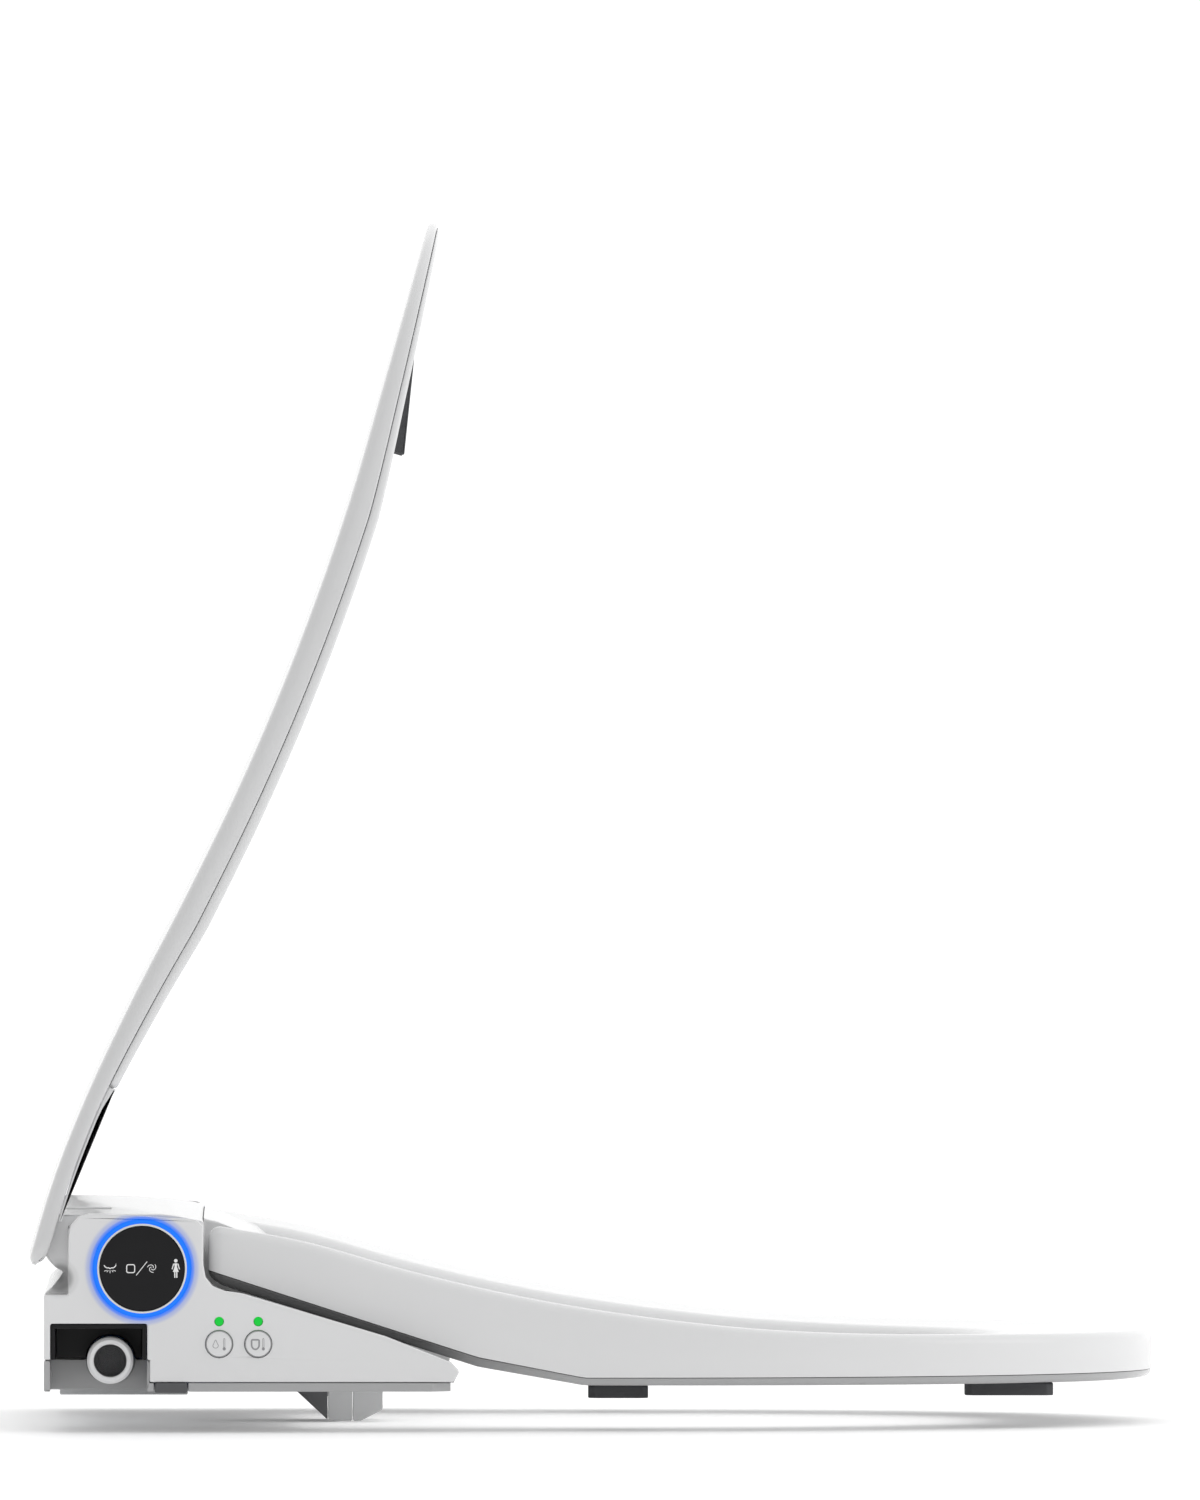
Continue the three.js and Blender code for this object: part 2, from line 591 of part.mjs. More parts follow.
function seatDamper(side) {
  const end = NOSE_HALF_WIDTH - SHELL_WALL - 6;
  const ends = [end * side, (end - SEAT_DAMPER_LENGTH) * side].sort((a, b) => a - b);
  const bore = [(end + 1) * side, (end - 8) * side].sort((a, b) => a - b);
  return bar(...ends, SEAT_HINGE, SEAT_DAMPER_R)
    .subtract(bar(...bore, SEAT_HINGE, SEAT_PIN_R + RUNNING));
}

function solenoidValve() {
  const x = SERVICE_X - 66;
  return joined(
    box(x - 27, x, -18, 8, DECK, DECK + 15), post(x - 14, -5, DECK + 14, DECK + 37, 10),
    box(x - 22, x - 6, -13, 3, DECK + 35, DECK + 39),
  );
}

function flowRegulator() {
  const x = SERVICE_X - 26;
  const top = DECK + 21;
  return joined(
    box(x - 38, x, -16, 14, DECK, top), post(x - 28, -1, top - 1, top + 14, 7),
    post(x - 10, -1, top - 1, top + 10, 5),
  );
}

function waterHeater() {
  const x = SERVICE_X;
  return joined(
    box(x - 22, x, -18, 34, DECK, DECK + 41), bar(x - 24, x + 2, [-12, DECK + 9], 4),
    bar(x - 24, x + 2, [26, DECK + 33], 4),
  );
}

function mainBoard() {
  const x = SERVICE_X - 26;
  const [bottom, top] = [DECK + 45, DECK + 46.6];
  return joined(
    box(x - 70, x, 0, 32, bottom, top), box(x - 60, x - 42, 4, 20, top - 0.6, top + 6.4),
    box(x - 34, x - 18, 4, 18, top - 0.6, top + 3.4),
  );
}

function powerSupply() {
  return joined(
    box(122, 156, -24, 32, DECK, DECK + 1.6), box(126, 150, -18, 8, DECK + 1, DECK + 25),
    box(128, 144, 14, 28, DECK + 1, DECK + 17),
  );
}

function blowerHousing() {
  const [x0, x1] = FAN_X;
  const wall = 2.2;
  const [bottom, top] = [DECK + 1, DECK + 15];
  const shell = joined(
    bar(x0, x1, FAN, FAN_R, 36), box(x0, x1, FAN[0], FAN[0] + 26, bottom, top),
  );
  return shell.subtract(joined(
    bar(x0 + wall, x1 - wall, FAN, FAN_R - wall, 36),
    box(x0 + wall, x1 - wall, FAN[0], FAN[0] + 32, bottom + wall, top - wall),
    bar(x0 - 8, x0 + 4, FAN, 8),
    bar(x1 - 3, x1 + 1, FAN, SHAFT_R + 0.7, 16),
  ));
}

function blowerWheel() {
  const x0 = FAN_X[0];
  const r = FAN_R - 4;
  const blades = Array.from({ length: 10 }, (_, i) => {
    const blade = box(x0 + 6, x0 + 24, FAN[0] - 0.9, FAN[0] + 0.9, FAN[1] + 9, FAN[1] + r - 0.5);
    return turned(blade, FAN, (i * 360) / 10);
  });
  const hub = joined(bar(x0 + 6, x0 + 9, FAN, r, 30), bar(x0 + 8, x0 + 26, FAN, 5));
  return joined(hub, ...blades).subtract(bar(x0 + 17, x0 + 32, FAN, SHAFT_R + RUNNING, 16));
}

/** A solid turned about a line across the width. */
function turned(shape, [f, z], degrees) {
  return shape.translate([0, f, -z]).rotate([degrees, 0, 0]).translate([0, -f, z]);
}

function blowerMotor() {
  const x1 = FAN_X[1];
  return joined(
    bar(x1 + 2, x1 + 20, FAN, MOTOR_R, 28), bar(x1 - 10, x1 + 3, FAN, SHAFT_R, 16),
    bar(x1 + GAP, x1 + 3, FAN, 5, 20),
  );
}

/** Duct from the blower's mouth to the outlet in the nose. */
function dryerDuct() {
  const [x0, x1] = [DRYER_X[0] - 2, DRYER_X[1] + 4];
  const [z0, z1] = [DRYER_Z[0] - 1.2, DRYER_Z[1] + 1.2];
  const end = NOSE_FRONT - 8;
  const wall = 2;
  const outer = joined(
    box(x0, x1, 36, end, z0, z1), box(x0, FAN_X[1], FAN[0] + 27.2, 50, z0, z1),
  );
  const inner = joined(
    box(x0 + wall, x1 - wall, 37, end + 4, z0 + wall, z1 - wall),
    box(x0 + wall, FAN_X[1] - wall, 30, 48, z0 + wall, z1 - wall),
  );
  return outer.subtract(inner);
}

function dryerHeater() {
  const [x0, x1] = [DRYER_X[0] + 2, DRYER_X[1]];
  const [f0, f1] = [NOSE_FRONT - 32, NOSE_FRONT - 13];
  const [z0, z1] = [DRYER_Z[0] + 3, DRYER_Z[1] - 3];
  const rungs = Array.from({ length: 5 }, (_, i) => (
    box(x0, x1, f0 + 1 + i * 4, f0 + 2.4 + i * 4, z0, z1)
  ));
  return joined(box(x0, x0 + 1.6, f0, f1, z0, z1), box(x1 - 1.6, x1, f0, f1, z0, z1), ...rungs);
}

function deodorizerHousing() {
  const [x0, x1] = SCRUBBER_X;
  return box(x0, x1, -10, 32, 26, 72).subtract(joined(
    bar(x0 - 4, x1 - 2, SCRUBBER, 12.5, 24), box(x0 - 4, x1 - 2, -8, 30, 28, 40.5),
  ));
}

function deodorizerFan() {
  const x0 = SCRUBBER_X[0];
  const [f, z] = SCRUBBER;
  const blades = Array.from({ length: 7 }, (_, i) => (
    turned(box(x0 + 5, x0 + 16, f - 0.8, f + 0.8, z + 3, z + 11), SCRUBBER, (i * 360) / 7)
  ));
  return joined(bar(x0 + 4, x0 + 17, SCRUBBER, 4, 24), ...blades);
}

function carbonFilter() {
  return box(SCRUBBER_X[0] + 2, SCRUBBER_X[1] - 4, -7, 29, 28.6, 37.5);
}

function powerGland() {
  const face = BODY_HALF_WIDTH;
  return joined(
    bar(face - 14, face + 3, GLAND, GLAND_R, 28),
    bar(face + GAP, face + 3, GLAND, GLAND_FLANGE_R, 28),
  ).subtract(bar(face - 20, face + 20, GLAND, CORD_R, 20));
}

// ---------------------------------------------------------------- side controls

const KNOB_BACK = -BODY_HALF_WIDTH + KNOB_RECESS - KNOB_TRAVEL - 0.5;
const ENCODER_X = -BODY_HALF_WIDTH + ENCODER_DEPTH;

function knobRim() {
  const back = KNOB_BACK;
  const front = -BODY_HALF_WIDTH - KNOB_PROUD;
  const cup = joined(
    bar(front, back, KNOB, KNOB_R, 32), bar(back - 1, back + 5, KNOB, SPINDLE_R + 3, 24),
  );
  return cup.subtract(joined(
    bar(front - 1, back - 1.6, KNOB, KNOB_FACE_R + 0.2, 32),
    bar(back - 1.2, back + 9, KNOB, SPINDLE_R + RUNNING),
  ));
}

function knobFace() {
  const front = -BODY_HALF_WIDTH - KNOB_PROUD + 0.4;
  return bar(front, KNOB_BACK - 1.6 - GAP, KNOB, KNOB_FACE_R, 32);
}

function knobSpindle() {
  return joined(
    bar(KNOB_BACK - 0.9, ENCODER_X, KNOB, SPINDLE_R),
    bar(ENCODER_X - 5, ENCODER_X - 3, KNOB, 6.5),
  );
}

function knobEncoder() {
  const x = ENCODER_X;
  const [f, z] = KNOB;
  const body = box(x - 0.5, x + 9, f - 7, f + 7, z - 7, z + 7);
  const board = box(x + 8.4, x + 10, f - 16, f + 18, z - 14, z + 12);
  return joined(body.subtract(bar(x - 14, x + 4, KNOB, SPINDLE_R + RUNNING)), board);
}

function lightRing() {
  const face = -BODY_HALF_WIDTH;
  return bar(face - 0.2, face + KNOB_RECESS - GAP, KNOB, LIGHT_RING_R, 32)
    .subtract(bar(face - 5, face + 5, KNOB, KNOB_R + GAP, 32));
}

function pushButton(forward) {
  const face = -BODY_HALF_WIDTH;
  return joined(
    bar(face - BUTTON_PROUD, face + 11, [forward, BUTTON_Z], BUTTON_R),
    bar(face + 8, face + 10, [forward, BUTTON_Z], BUTTON_R + 1.4),
  );
}

function ledLens(forward) {
  const face = -BODY_HALF_WIDTH;
  return bar(face - 0.3, face + 12, [forward, LED_Z], LED_R, 16);
}

function buttonBoard() {
  const x = -BODY_HALF_WIDTH + BOARD_DEPTH;
  return box(x, x + 1.6, BUTTONS[0] - 8.4, BUTTONS[1] + 9, BUTTON_Z - 10.5, LED_Z + 2.4);
}

// ---------------------------------------------------------------- spray wands

/** Wands and their guide are drawn level, pointing forward, and their group tips them down. */
function wandTube() {
  const tube = new THREE.CylinderGeometry(WAND_R, WAND_R, WAND_LENGTH, 24);
  return solid(tube.translate(0, -WAND_LENGTH / 2, 0));
}

function wandTip() {
  const [r, n] = [WAND_R, 5];
  const dome = Array.from({ length: n + 1 }, (_, i) => {
    const a = (i / n) * (Math.PI / 2);
    return new THREE.Vector2(r * Math.cos(a), TIP_LENGTH - r + r * Math.sin(a));
  });
  dome[n].x = 0;
  const profile = [new THREE.Vector2(0, 0), new THREE.Vector2(r, 0), ...dome];
  const tip = solid(new THREE.LatheGeometry(profile, 24).rotateX(Math.PI));
  const jet = new THREE.CylinderGeometry(0.8, 0.8, 4, 12).rotateX(Math.PI / 2);
  return tip.subtract(solid(jet.translate(0, -6, r - 1)));
}

function nozzleGuide() {
  const height = 2 * WAND_R + 5;
  const block = solid(new THREE.BoxGeometry(2 * GUIDE_HALF_WIDTH, GUIDE[1] - GUIDE[0], height)
    .translate(0, -(GUIDE[0] + GUIDE[1]) / 2, 0));
  const bores = [-WAND_X, WAND_X].map((x) => (
    solid(new THREE.CylinderGeometry(WAND_R + 0.5, WAND_R + 0.5, FAR, 28).translate(x, 0, 0))
  ));
  return block.subtract(joined(...bores));
}

function drivePinion() {
  const [teeth, root] = [10, PINION_R - 0.9];
  const outline = [];
  for (let i = 0; i < teeth; i += 1) {
    const steps = [[0, root], [0.25, root], [0.4, PINION_R], [0.75, PINION_R], [0.9, root]];
    for (const [share, r] of steps) {
      const a = ((i + share) / teeth) * 2 * Math.PI;
      outline.push([r * Math.cos(a), r * Math.sin(a)]);
    }
  }
  return sideSlab(outline, -4, 4).subtract(bar(-9, 9, [0, 0], SHAFT_R + RUNNING, 16));
}

function wandMotor() {
  return joined(bar(0, 15, [0, 0], 11.5, 28), bar(-16, 1, [0, 0], SHAFT_R, 16));
}

/** Chute under the wands, from the unit's underside down to the guard. */
function nozzleTrough() {
  const lower = [[71, 3.2], [75.2, 2.4], [80, -1], [87, -7.5], [93.5, GUARD_BOTTOM + 0.6]];
  const upper = [[93.5, GUARD_BOTTOM + 3.1], [87, -5], [80, 1.3], [76, 4.2], [71, 5.2]];
  const wall = [...lower, [93.5, 2.5], [80, 5.5], [71, 7]];
  return joined(
    sideSlab([...lower, ...upper], -TROUGH_HALF_WIDTH, TROUGH_HALF_WIDTH),
    sideSlabs(wall, TROUGH_HALF_WIDTH - TROUGH_WALL, TROUGH_HALF_WIDTH),
  );
}

/** Rear part of the guard: two cheeks on a short floor. */
function nozzleGuard() {
  const [rear, front] = [GUARD[0], GUARD[1] - GAP];
  const inner = TROUGH_HALF_WIDTH - TROUGH_WALL;
  const side = [
    [rear, GUARD_BOTTOM + 0.6], [rear + 2.2, GUARD_BOTTOM], [front, GUARD_BOTTOM],
    [front, GUARD_TOP], [rear, GUARD_TOP],
  ];
  const opening = joined(
    box(-inner, inner, rear - 3, front + 5, GUARD_BOTTOM + 2, FAR),
    box(-inner, inner, rear + 5.2, front + 5, -FAR, FAR),
  );
  return sideSlab(side, -TROUGH_HALF_WIDTH, TROUGH_HALF_WIDTH).subtract(opening);
}

/** Front part of the guard, open below and in front where the wands come out. */
function guardShield() {
  const [, rear, front] = GUARD;
  const inner = TROUGH_HALF_WIDTH - TROUGH_WALL;
  const side = [
    [rear, GUARD_BOTTOM], [rear + 3.4, GUARD_BOTTOM], [front, -9], [front, 1],
    [front - 2.6, GUARD_TOP], [rear, GUARD_TOP],
  ];
  const opening = box(-inner, inner, 90, FAR, -FAR, GUARD_TOP - 3);
  return sideSlab(side, -TROUGH_HALF_WIDTH, TROUGH_HALF_WIDTH).subtract(opening);
}

// ---------------------------------------------------------------- lid, drawn closed

const none = () => 0;

function lidOuter() {
  const skin = sideSlab(band(LID_TOP, none, () => LID_PANEL), -FAR, FAR).intersect(
    planSlab(lidPlan(0), -FAR, FAR),
  );
  const ring = planSlab(lidPlan(0), -FAR, FAR).subtract(planSlab(lidPlan(LID_RIM), -FAR, FAR));
  const rim = sideSlab(band(LID_TOP, none, rimDepth), -FAR, FAR).intersect(ring);
  const reach = BARREL_R + 0.8;
  const lip = sideSlab([
    [-35, 91], [LID_REAR, 87], [-32.6, 82.3], ...arc(LID_HINGE, reach, 140, 90, 5), [-20, 90],
  ], -LID_HALF_WIDTH, LID_HALF_WIDTH);
  return joined(skin, rim, lip, lidLug(1), lidLug(-1)).subtract(lidPinBore());
}

function lidLug(side) {
  const [x0, x1] = LUG_X.map((x) => x * side).sort((a, b) => a - b);
  const [f, z] = LID_HINGE;
  return joined(
    bar(x0, x1, LID_HINGE, LUG_R),
    sideSlab([[f - 8.5, z], [f + 8.5, z], [f + 7, z + 18], [f - 7, z + 18]], x0, x1),
  );
}

function lidPinBore() {
  const r = LID_PIN_R + GAP;
  return joined(
    bar(LUG_X[0] - 1, LUG_X[1] + 1, LID_HINGE, r), bar(-LUG_X[1] - 1, 1 - LUG_X[0], LID_HINGE, r),
  );
}

function lidLining() {
  const top = LID_PANEL + GAP;
  const bottom = top + LID_LINING;
  const plan = (edge) => planSlab(lidPlan(edge), -FAR, FAR);
  const slab = (upper, lower) => sideSlab(band(LID_TOP, upper, lower), -FAR, FAR);
  const tray = slab(() => top, lipDepth).intersect(plan(LID_RIM + GAP))
    .subtract(slab(() => bottom, () => 100).intersect(plan(LID_RIM + 3.2)));
  const lip = slab((f) => rimDepth(f) + GAP, lipDepth)
    .intersect(plan(1.2).subtract(plan(LID_RIM + 3)));
  const overDome = joined(
    box(-RABBET_INNER - 0.8, RABBET_INNER + 0.8, -FAR, 50, -FAR, FAR),
    box(-FAR, FAR, -FAR, LID_HINGE[0] + 6, -FAR, FAR),
  );
  return joined(tray, lip).subtract(overDome);
}

function lidBumper(side) {
  const [rear, front] = LID_BUMPER;
  const hidden = LID_PANEL + LID_LINING + 2 * GAP;
  const top = (f) => heightAt(LID_TOP, f) - hidden;
  const rest = heightAt(SEAT_TOP, rear) + LID_BUMPER_GAP;
  const x = LID_BUMPER_X * side;
  return sideSlab(
    [[rear, rest], [front - 3, rest + 6.5], [front, top(front)], [rear, top(rear)]],
    x - LID_BUMPER_WIDTH / 2, x + LID_BUMPER_WIDTH / 2,
  );
}

function hingePin(x0, x1, side, centre, r) {
  return bar(...[x0 * side, x1 * side].sort((a, b) => a - b), centre, r);
}

// ---------------------------------------------------------------- seat

function seatRing(edge) {
  return planSlab(seatPlan(edge), -FAR, FAR).subtract(planSlab(seatHole(edge), -FAR, FAR));
}

function seatPinBore() {
  const start = NOSE_HALF_WIDTH + SEAT_SIDE_GAP;
  const r = SEAT_PIN_R + GAP;
  const end = start + SEAT_PIN_REACH + 1;
  return joined(bar(start - 3, end, SEAT_HINGE, r), bar(-end, 3 - start, SEAT_HINGE, r));
}

function seatTop() {
  const above = SEAT_SEAM.map(([f, z]) => [f, z + GAP / 2]).reverse();
  const outline = [
    [SEAT_REAR, 69], [SEAT_REAR + 2.2, 74.6], ...SEAT_TOP, [467, 25], [SEAT_FRONT, 20.5], ...above,
  ];
  const inside = [
    ...band(SEAT_TOP.filter(([f]) => f > 62), () => SEAT_WALL, () => 60),
  ];
  const hollow = sideSlab(inside, -FAR, FAR).intersect(seatRing(SEAT_WALL));
  return sideSlab(outline, -FAR, FAR).intersect(seatRing(0)).subtract(joined(hollow, seatPinBore()));
}

function seatBase() {
  const seam = SEAT_SEAM.map(([f, z]) => [f, z - GAP / 2]);
  seam[seam.length - 1][0] = SEAT_FRONT - 1.5;
  const outline = [
    ...seam, [SEAT_FRONT - 4, SEAT_BOTTOM_Z + 0.8], [440, SEAT_BOTTOM_Z], [209, SEAT_BOTTOM_Z + 0.4],
    [161, 14.7], [SEAT_REAR + 8.5, 50.6], [SEAT_REAR + 1.5, 53.6],
  ];
  return sideSlab(outline, -FAR, FAR).intersect(seatRing(0));
}

function heaterFoil() {
  const run = SEAT_TOP.filter(([f]) => f > 75 && f < 455);
  return sideSlab(band(run, () => SEAT_WALL + GAP, () => SEAT_WALL + 1.2), -FAR, FAR)
    .intersect(seatRing(8));
}

function seatBumper(x, f0, f1, width) {
  const c = 3;
  const outline = [
    [x - width / 2 + c, f0], [x + width / 2 - c, f0], [x + width / 2, f0 + c], [x + width / 2, f1 - c],
    [x + width / 2 - c, f1], [x - width / 2 + c, f1], [x - width / 2, f1 - c], [x - width / 2, f0 + c],
  ];
  return planSlab(outline, 0, SEAT_BOTTOM_Z - GAP);
}

// ---------------------------------------------------------------- assembly

function group(parent, name) {
  const made = new THREE.Group();
  made.name = name;
  if (parent) parent.add(made);
  return made;
}

/** Adds a named mesh. Solids are drawn in the whole object's frame, so each group shifts them back. */
function piece(parent, name, shape, material, [x, y, z] = [0, 0, 0]) {
  const mesh = new THREE.Mesh(geometryOf(shape), material);
  mesh.name = name;
  mesh.position.set(x, y, z);
  parent.add(mesh);
  return mesh;
}

const SIDES = [['left', 1], ['right', -1]];

const bidet = group(null, 'bidet_seat');
piece(bidet, 'mounting_plate', mountingPlate(), LIGHT_GREY);

const unit = group(bidet, 'unit');
piece(unit, 'base_tray', baseTray(), MID_GREY);
piece(unit, 'top_cover', topCover(), WHITE);
piece(unit, 'inlet_bay', inletBay(), BLACK);
piece(unit, 'water_inlet', waterInlet(), WHITE);
piece(unit, 'inlet_filter', inletFilter(), DARK_GREY);
piece(unit, 'solenoid_valve', solenoidValve(), DARK_GREY);
piece(unit, 'flow_regulator', flowRegulator(), LIGHT_GREY);
piece(unit, 'water_heater', waterHeater(), LIGHT_GREY);
piece(unit, 'main_board', mainBoard(), BOARD);
piece(unit, 'power_supply', powerSupply(), BOARD);
piece(unit, 'power_gland', powerGland(), DARK_GREY);
piece(unit, 'blower_housing', blowerHousing(), DARK_GREY);
piece(unit, 'blower_motor', blowerMotor(), STEEL);
piece(unit, 'dryer_duct', dryerDuct(), DARK_GREY);
piece(unit, 'dryer_heater', dryerHeater(), STEEL);
piece(unit, 'deodorizer_housing', deodorizerHousing(), LIGHT_GREY);
piece(unit, 'carbon_filter', carbonFilter(), CARBON);
piece(unit, 'knob_encoder', knobEncoder(), BOARD);
piece(unit, 'light_ring', lightRing(), BLUE);
piece(unit, 'button_board', buttonBoard(), BOARD);
piece(unit, 'nozzle_trough', nozzleTrough(), DARK_GREY);
piece(unit, 'nozzle_guard', nozzleGuard(), MID_GREY);
piece(unit, 'guard_shield', guardShield(), MID_GREY);
piece(unit, 'lid_damper', lidDamper(1), DARK_GREY);
piece(unit, 'seat_damper', seatDamper(-1), DARK_GREY);
piece(group(unit, 'blower_rotor'), 'blower_wheel', blowerWheel(), LIGHT_GREY);
piece(group(unit, 'deodorizer_rotor'), 'deodorizer_fan', deodorizerFan(), DARK_GREY);

const release = group(unit, 'release');
piece(release, 'release_button', releaseButton(), DARK_GREY);

const controls = group(unit, 'controls');
piece(controls, 'knob_spindle', knobSpindle(), LIGHT_GREY);
piece(controls, 'knob_rim', knobRim(), WHITE);
piece(controls, 'knob_face', knobFace(), BLACK);
BUTTONS.forEach((forward, i) => {
  const use = ['water', 'seat'][i];
  piece(controls, `${use}_heat_button`, pushButton(forward), WHITE);
  piece(controls, `${use}_heat_led`, ledLens(forward), GREEN);
});

const wands = group(unit, 'wands');
wands.position.set(0, -WAND_REAR[0], WAND_REAR[1]);
wands.rotation.x = THREE.MathUtils.degToRad(WAND_PITCH);
piece(wands, 'nozzle_guide', nozzleGuide(), LIGHT_GREY);
const PINION_HEIGHT = WAND_R + PINION_R + GAP;
[['rear', 1], ['front', -1]].forEach(([use, sign]) => {
  const x = WAND_X * sign;
  piece(wands, `${use}_wand`, wandTube(), LIGHT_GREY, [x, 0, 0]);
  piece(wands, `${use}_nozzle_tip`, wandTip(), WHITE, [x, -WAND_LENGTH - GAP, 0]);
  piece(wands, `${use}_drive_pinion`, drivePinion(), WHITE, [x, -PINION_AT, PINION_HEIGHT]);
  const motor = piece(wands, `${use}_wand_motor`, wandMotor(), STEEL, [
    (GUIDE_HALF_WIDTH + 2) * sign, -PINION_AT, PINION_HEIGHT,
  ]);
  if (sign < 0) motor.rotation.z = Math.PI;
});

const lid = group(unit, 'lid');
lid.position.set(0, -LID_HINGE[0], LID_HINGE[1]);
lid.rotation.x = THREE.MathUtils.degToRad(-LID_REST_ANGLE);
const fromHinge = [0, LID_HINGE[0], -LID_HINGE[1]];
piece(lid, 'lid_outer', lidOuter(), WHITE, fromHinge);
piece(lid, 'lid_lining', lidLining(), WHITE, fromHinge);
for (const [side, sign] of SIDES) {
  piece(lid, `lid_bumper_${side}`, lidBumper(sign), RUBBER, fromHinge);
  const pin = hingePin(LUG_X[0] - 10, LUG_X[1] + 11, sign, LID_HINGE, LID_PIN_R);
  piece(lid, `lid_pin_${side}`, pin, STEEL, fromHinge);
}

const seat = group(unit, 'seat');
piece(seat, 'seat_top', seatTop(), WHITE);
piece(seat, 'seat_base', seatBase(), WHITE);
piece(seat, 'seat_heater', heaterFoil(), FOIL);
for (const [side, sign] of SIDES) {
  const end = NOSE_HALF_WIDTH + SEAT_SIDE_GAP + SEAT_PIN_REACH;
  const pin = hingePin(NOSE_HALF_WIDTH - 15.5, end, sign, SEAT_HINGE, SEAT_PIN_R);
  piece(seat, `seat_pin_${side}`, pin, STEEL);
  piece(seat, `rear_seat_bumper_${side}`, seatBumper(148 * sign, 211, 238, 20), RUBBER);
  piece(seat, `front_seat_bumper_${side}`, seatBumper(106 * sign, 382, 422, 18), RUBBER);
}

export default bidet;
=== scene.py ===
"""Electric bidet seat: looks for the control unit, the ring seat, the lid and the side controls.

Sizes are in millimetres and turned into metres where a mesh is made. Side outlines are pairs of
(forward, height); forward points to -Y from the line of the fixing bolts. The lid is worked out
closed, then turned open about its hinge by LID_OPEN.
"""

import json

import bmesh
import bpy
import numpy as np
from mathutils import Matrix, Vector


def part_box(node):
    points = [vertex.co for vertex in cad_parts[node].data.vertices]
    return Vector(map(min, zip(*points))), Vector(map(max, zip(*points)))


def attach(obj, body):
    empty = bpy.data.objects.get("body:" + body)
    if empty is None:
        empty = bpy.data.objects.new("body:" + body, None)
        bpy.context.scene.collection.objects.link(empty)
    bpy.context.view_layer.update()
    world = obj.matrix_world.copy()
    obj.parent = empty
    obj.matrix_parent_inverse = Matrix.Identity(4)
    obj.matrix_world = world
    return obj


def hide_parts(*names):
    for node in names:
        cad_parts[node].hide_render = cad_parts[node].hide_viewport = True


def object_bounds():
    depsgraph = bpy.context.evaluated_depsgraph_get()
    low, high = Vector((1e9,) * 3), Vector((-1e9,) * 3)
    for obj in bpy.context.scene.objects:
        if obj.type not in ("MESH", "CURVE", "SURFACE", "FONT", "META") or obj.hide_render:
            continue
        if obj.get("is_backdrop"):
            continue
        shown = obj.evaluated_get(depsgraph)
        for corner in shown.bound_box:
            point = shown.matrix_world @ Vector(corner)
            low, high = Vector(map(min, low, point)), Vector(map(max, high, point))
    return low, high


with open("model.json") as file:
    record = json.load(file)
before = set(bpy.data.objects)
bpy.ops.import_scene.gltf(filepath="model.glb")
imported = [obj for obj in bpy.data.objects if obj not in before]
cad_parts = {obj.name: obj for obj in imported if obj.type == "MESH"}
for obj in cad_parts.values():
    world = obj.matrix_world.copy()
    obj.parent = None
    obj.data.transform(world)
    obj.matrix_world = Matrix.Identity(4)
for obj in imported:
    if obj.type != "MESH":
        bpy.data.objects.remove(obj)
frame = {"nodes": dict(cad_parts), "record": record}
cad_low, cad_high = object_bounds()
record = frame["record"]
joints = {joint["name"]: joint for joint in record["behaviour"]["joints"]}
SLOT_OF = {part["node"]: part["material_slot"] for part in record["subparts"]}
BODY_OF = {node: body for body, nodes in record["behaviour"]["bodies"].items() for node in nodes}

MM = 0.001

# ------------------------------------------------------------------ sizes

LID_OPEN = 73.7  # degrees between the closed lid and the lid at rest
LID_HALF_WIDTH = 189.5
LID_REAR, LID_FRONT = -36.0, 467.0
LID_WIDEST = 215.0
LID_CROWN = 1.2  # how far the lid falls from its centre line to its sides
LID_PANEL = 3.2
LID_RIM = 4.2
LID_LINING = 2.5
LINING_REAR = 50.4
LIP_INSET = 1.2
LIP_WIDTH = 6.0
LIP_RAISE = 1.2  # how much shallower the lip is beside the cover
GAP = 0.3
LUG_X = (128.0, 140.0)
LUG_RADIUS = 9.0
LID_PAD = (361.2, 408.8)  # rear and front ends of the lid's wedge bumpers
LID_PAD_X, LID_PAD_WIDTH = 100.0, 15.8
LID_PART_EDGE = 0.8  # radius on the lips, lugs and bumpers
LID_LOOP_POINTS = 420

SEAT_REAR, SEAT_FRONT = 39.5, 469.6
SEAT_HALF_WIDTH = 182.0
SEAT_REAR_HALF = 176.0
SEAT_HOLE_REAR_HALF = 116.5
SEAT_HOLE_HALF = 112.0
SEAT_HOLE_FRONT = 392.0
SEAT_OUTER_EDGE = 4.5  # radius along the outer top edge
SEAT_INNER_EDGE = 13.0
SEAT_END = 6.5  # radius round the two rear ends
SEAT_DISH = 2.2  # how far the top sinks towards the opening
SEAT_UNDER_EDGE = 3.4  # radius along the edges of the underside
SEAT_PATH_POINTS = 301
SEAT_STATIONS = 240

LID_TOP = [
    (-35, 91), (0, 90.8), (42, 87.1), (91, 79.4), (141, 69.6), (190, 61.1),
    (239, 54.7), (287, 50.5), (334, 48.2), (390, 47.9), (467, 48),
]
RIM_DEPTH = [(-36, 4.8), (-33, 6.6), (-24, 7.4), (40, 7), (130, 10.4), (330, 10.4), (467, 4.2)]
LIP_DEPTH = [(40, 10.5), (130, 15.7), (330, 15), (467, 6)]
SEAT_TOP = [
    (46.7, 77.6), (80, 71.7), (131.7, 57.5), (183, 45.8), (235, 37.3),
    (287, 31.6), (338, 29), (390, 28.3), (461, 27.8),
]
SEAT_SEAM = [(39.5, 58.2), (161, 19), (209, 9.7), (469.6, 9.7)]
SEAT_UNDER = [(39.5, 54.2), (48, 50.6), (161, 14.7), (209, 6.3), (440, 5.9), (469.6, 6.2)]

# ------------------------------------------------------------------ curves and outlines


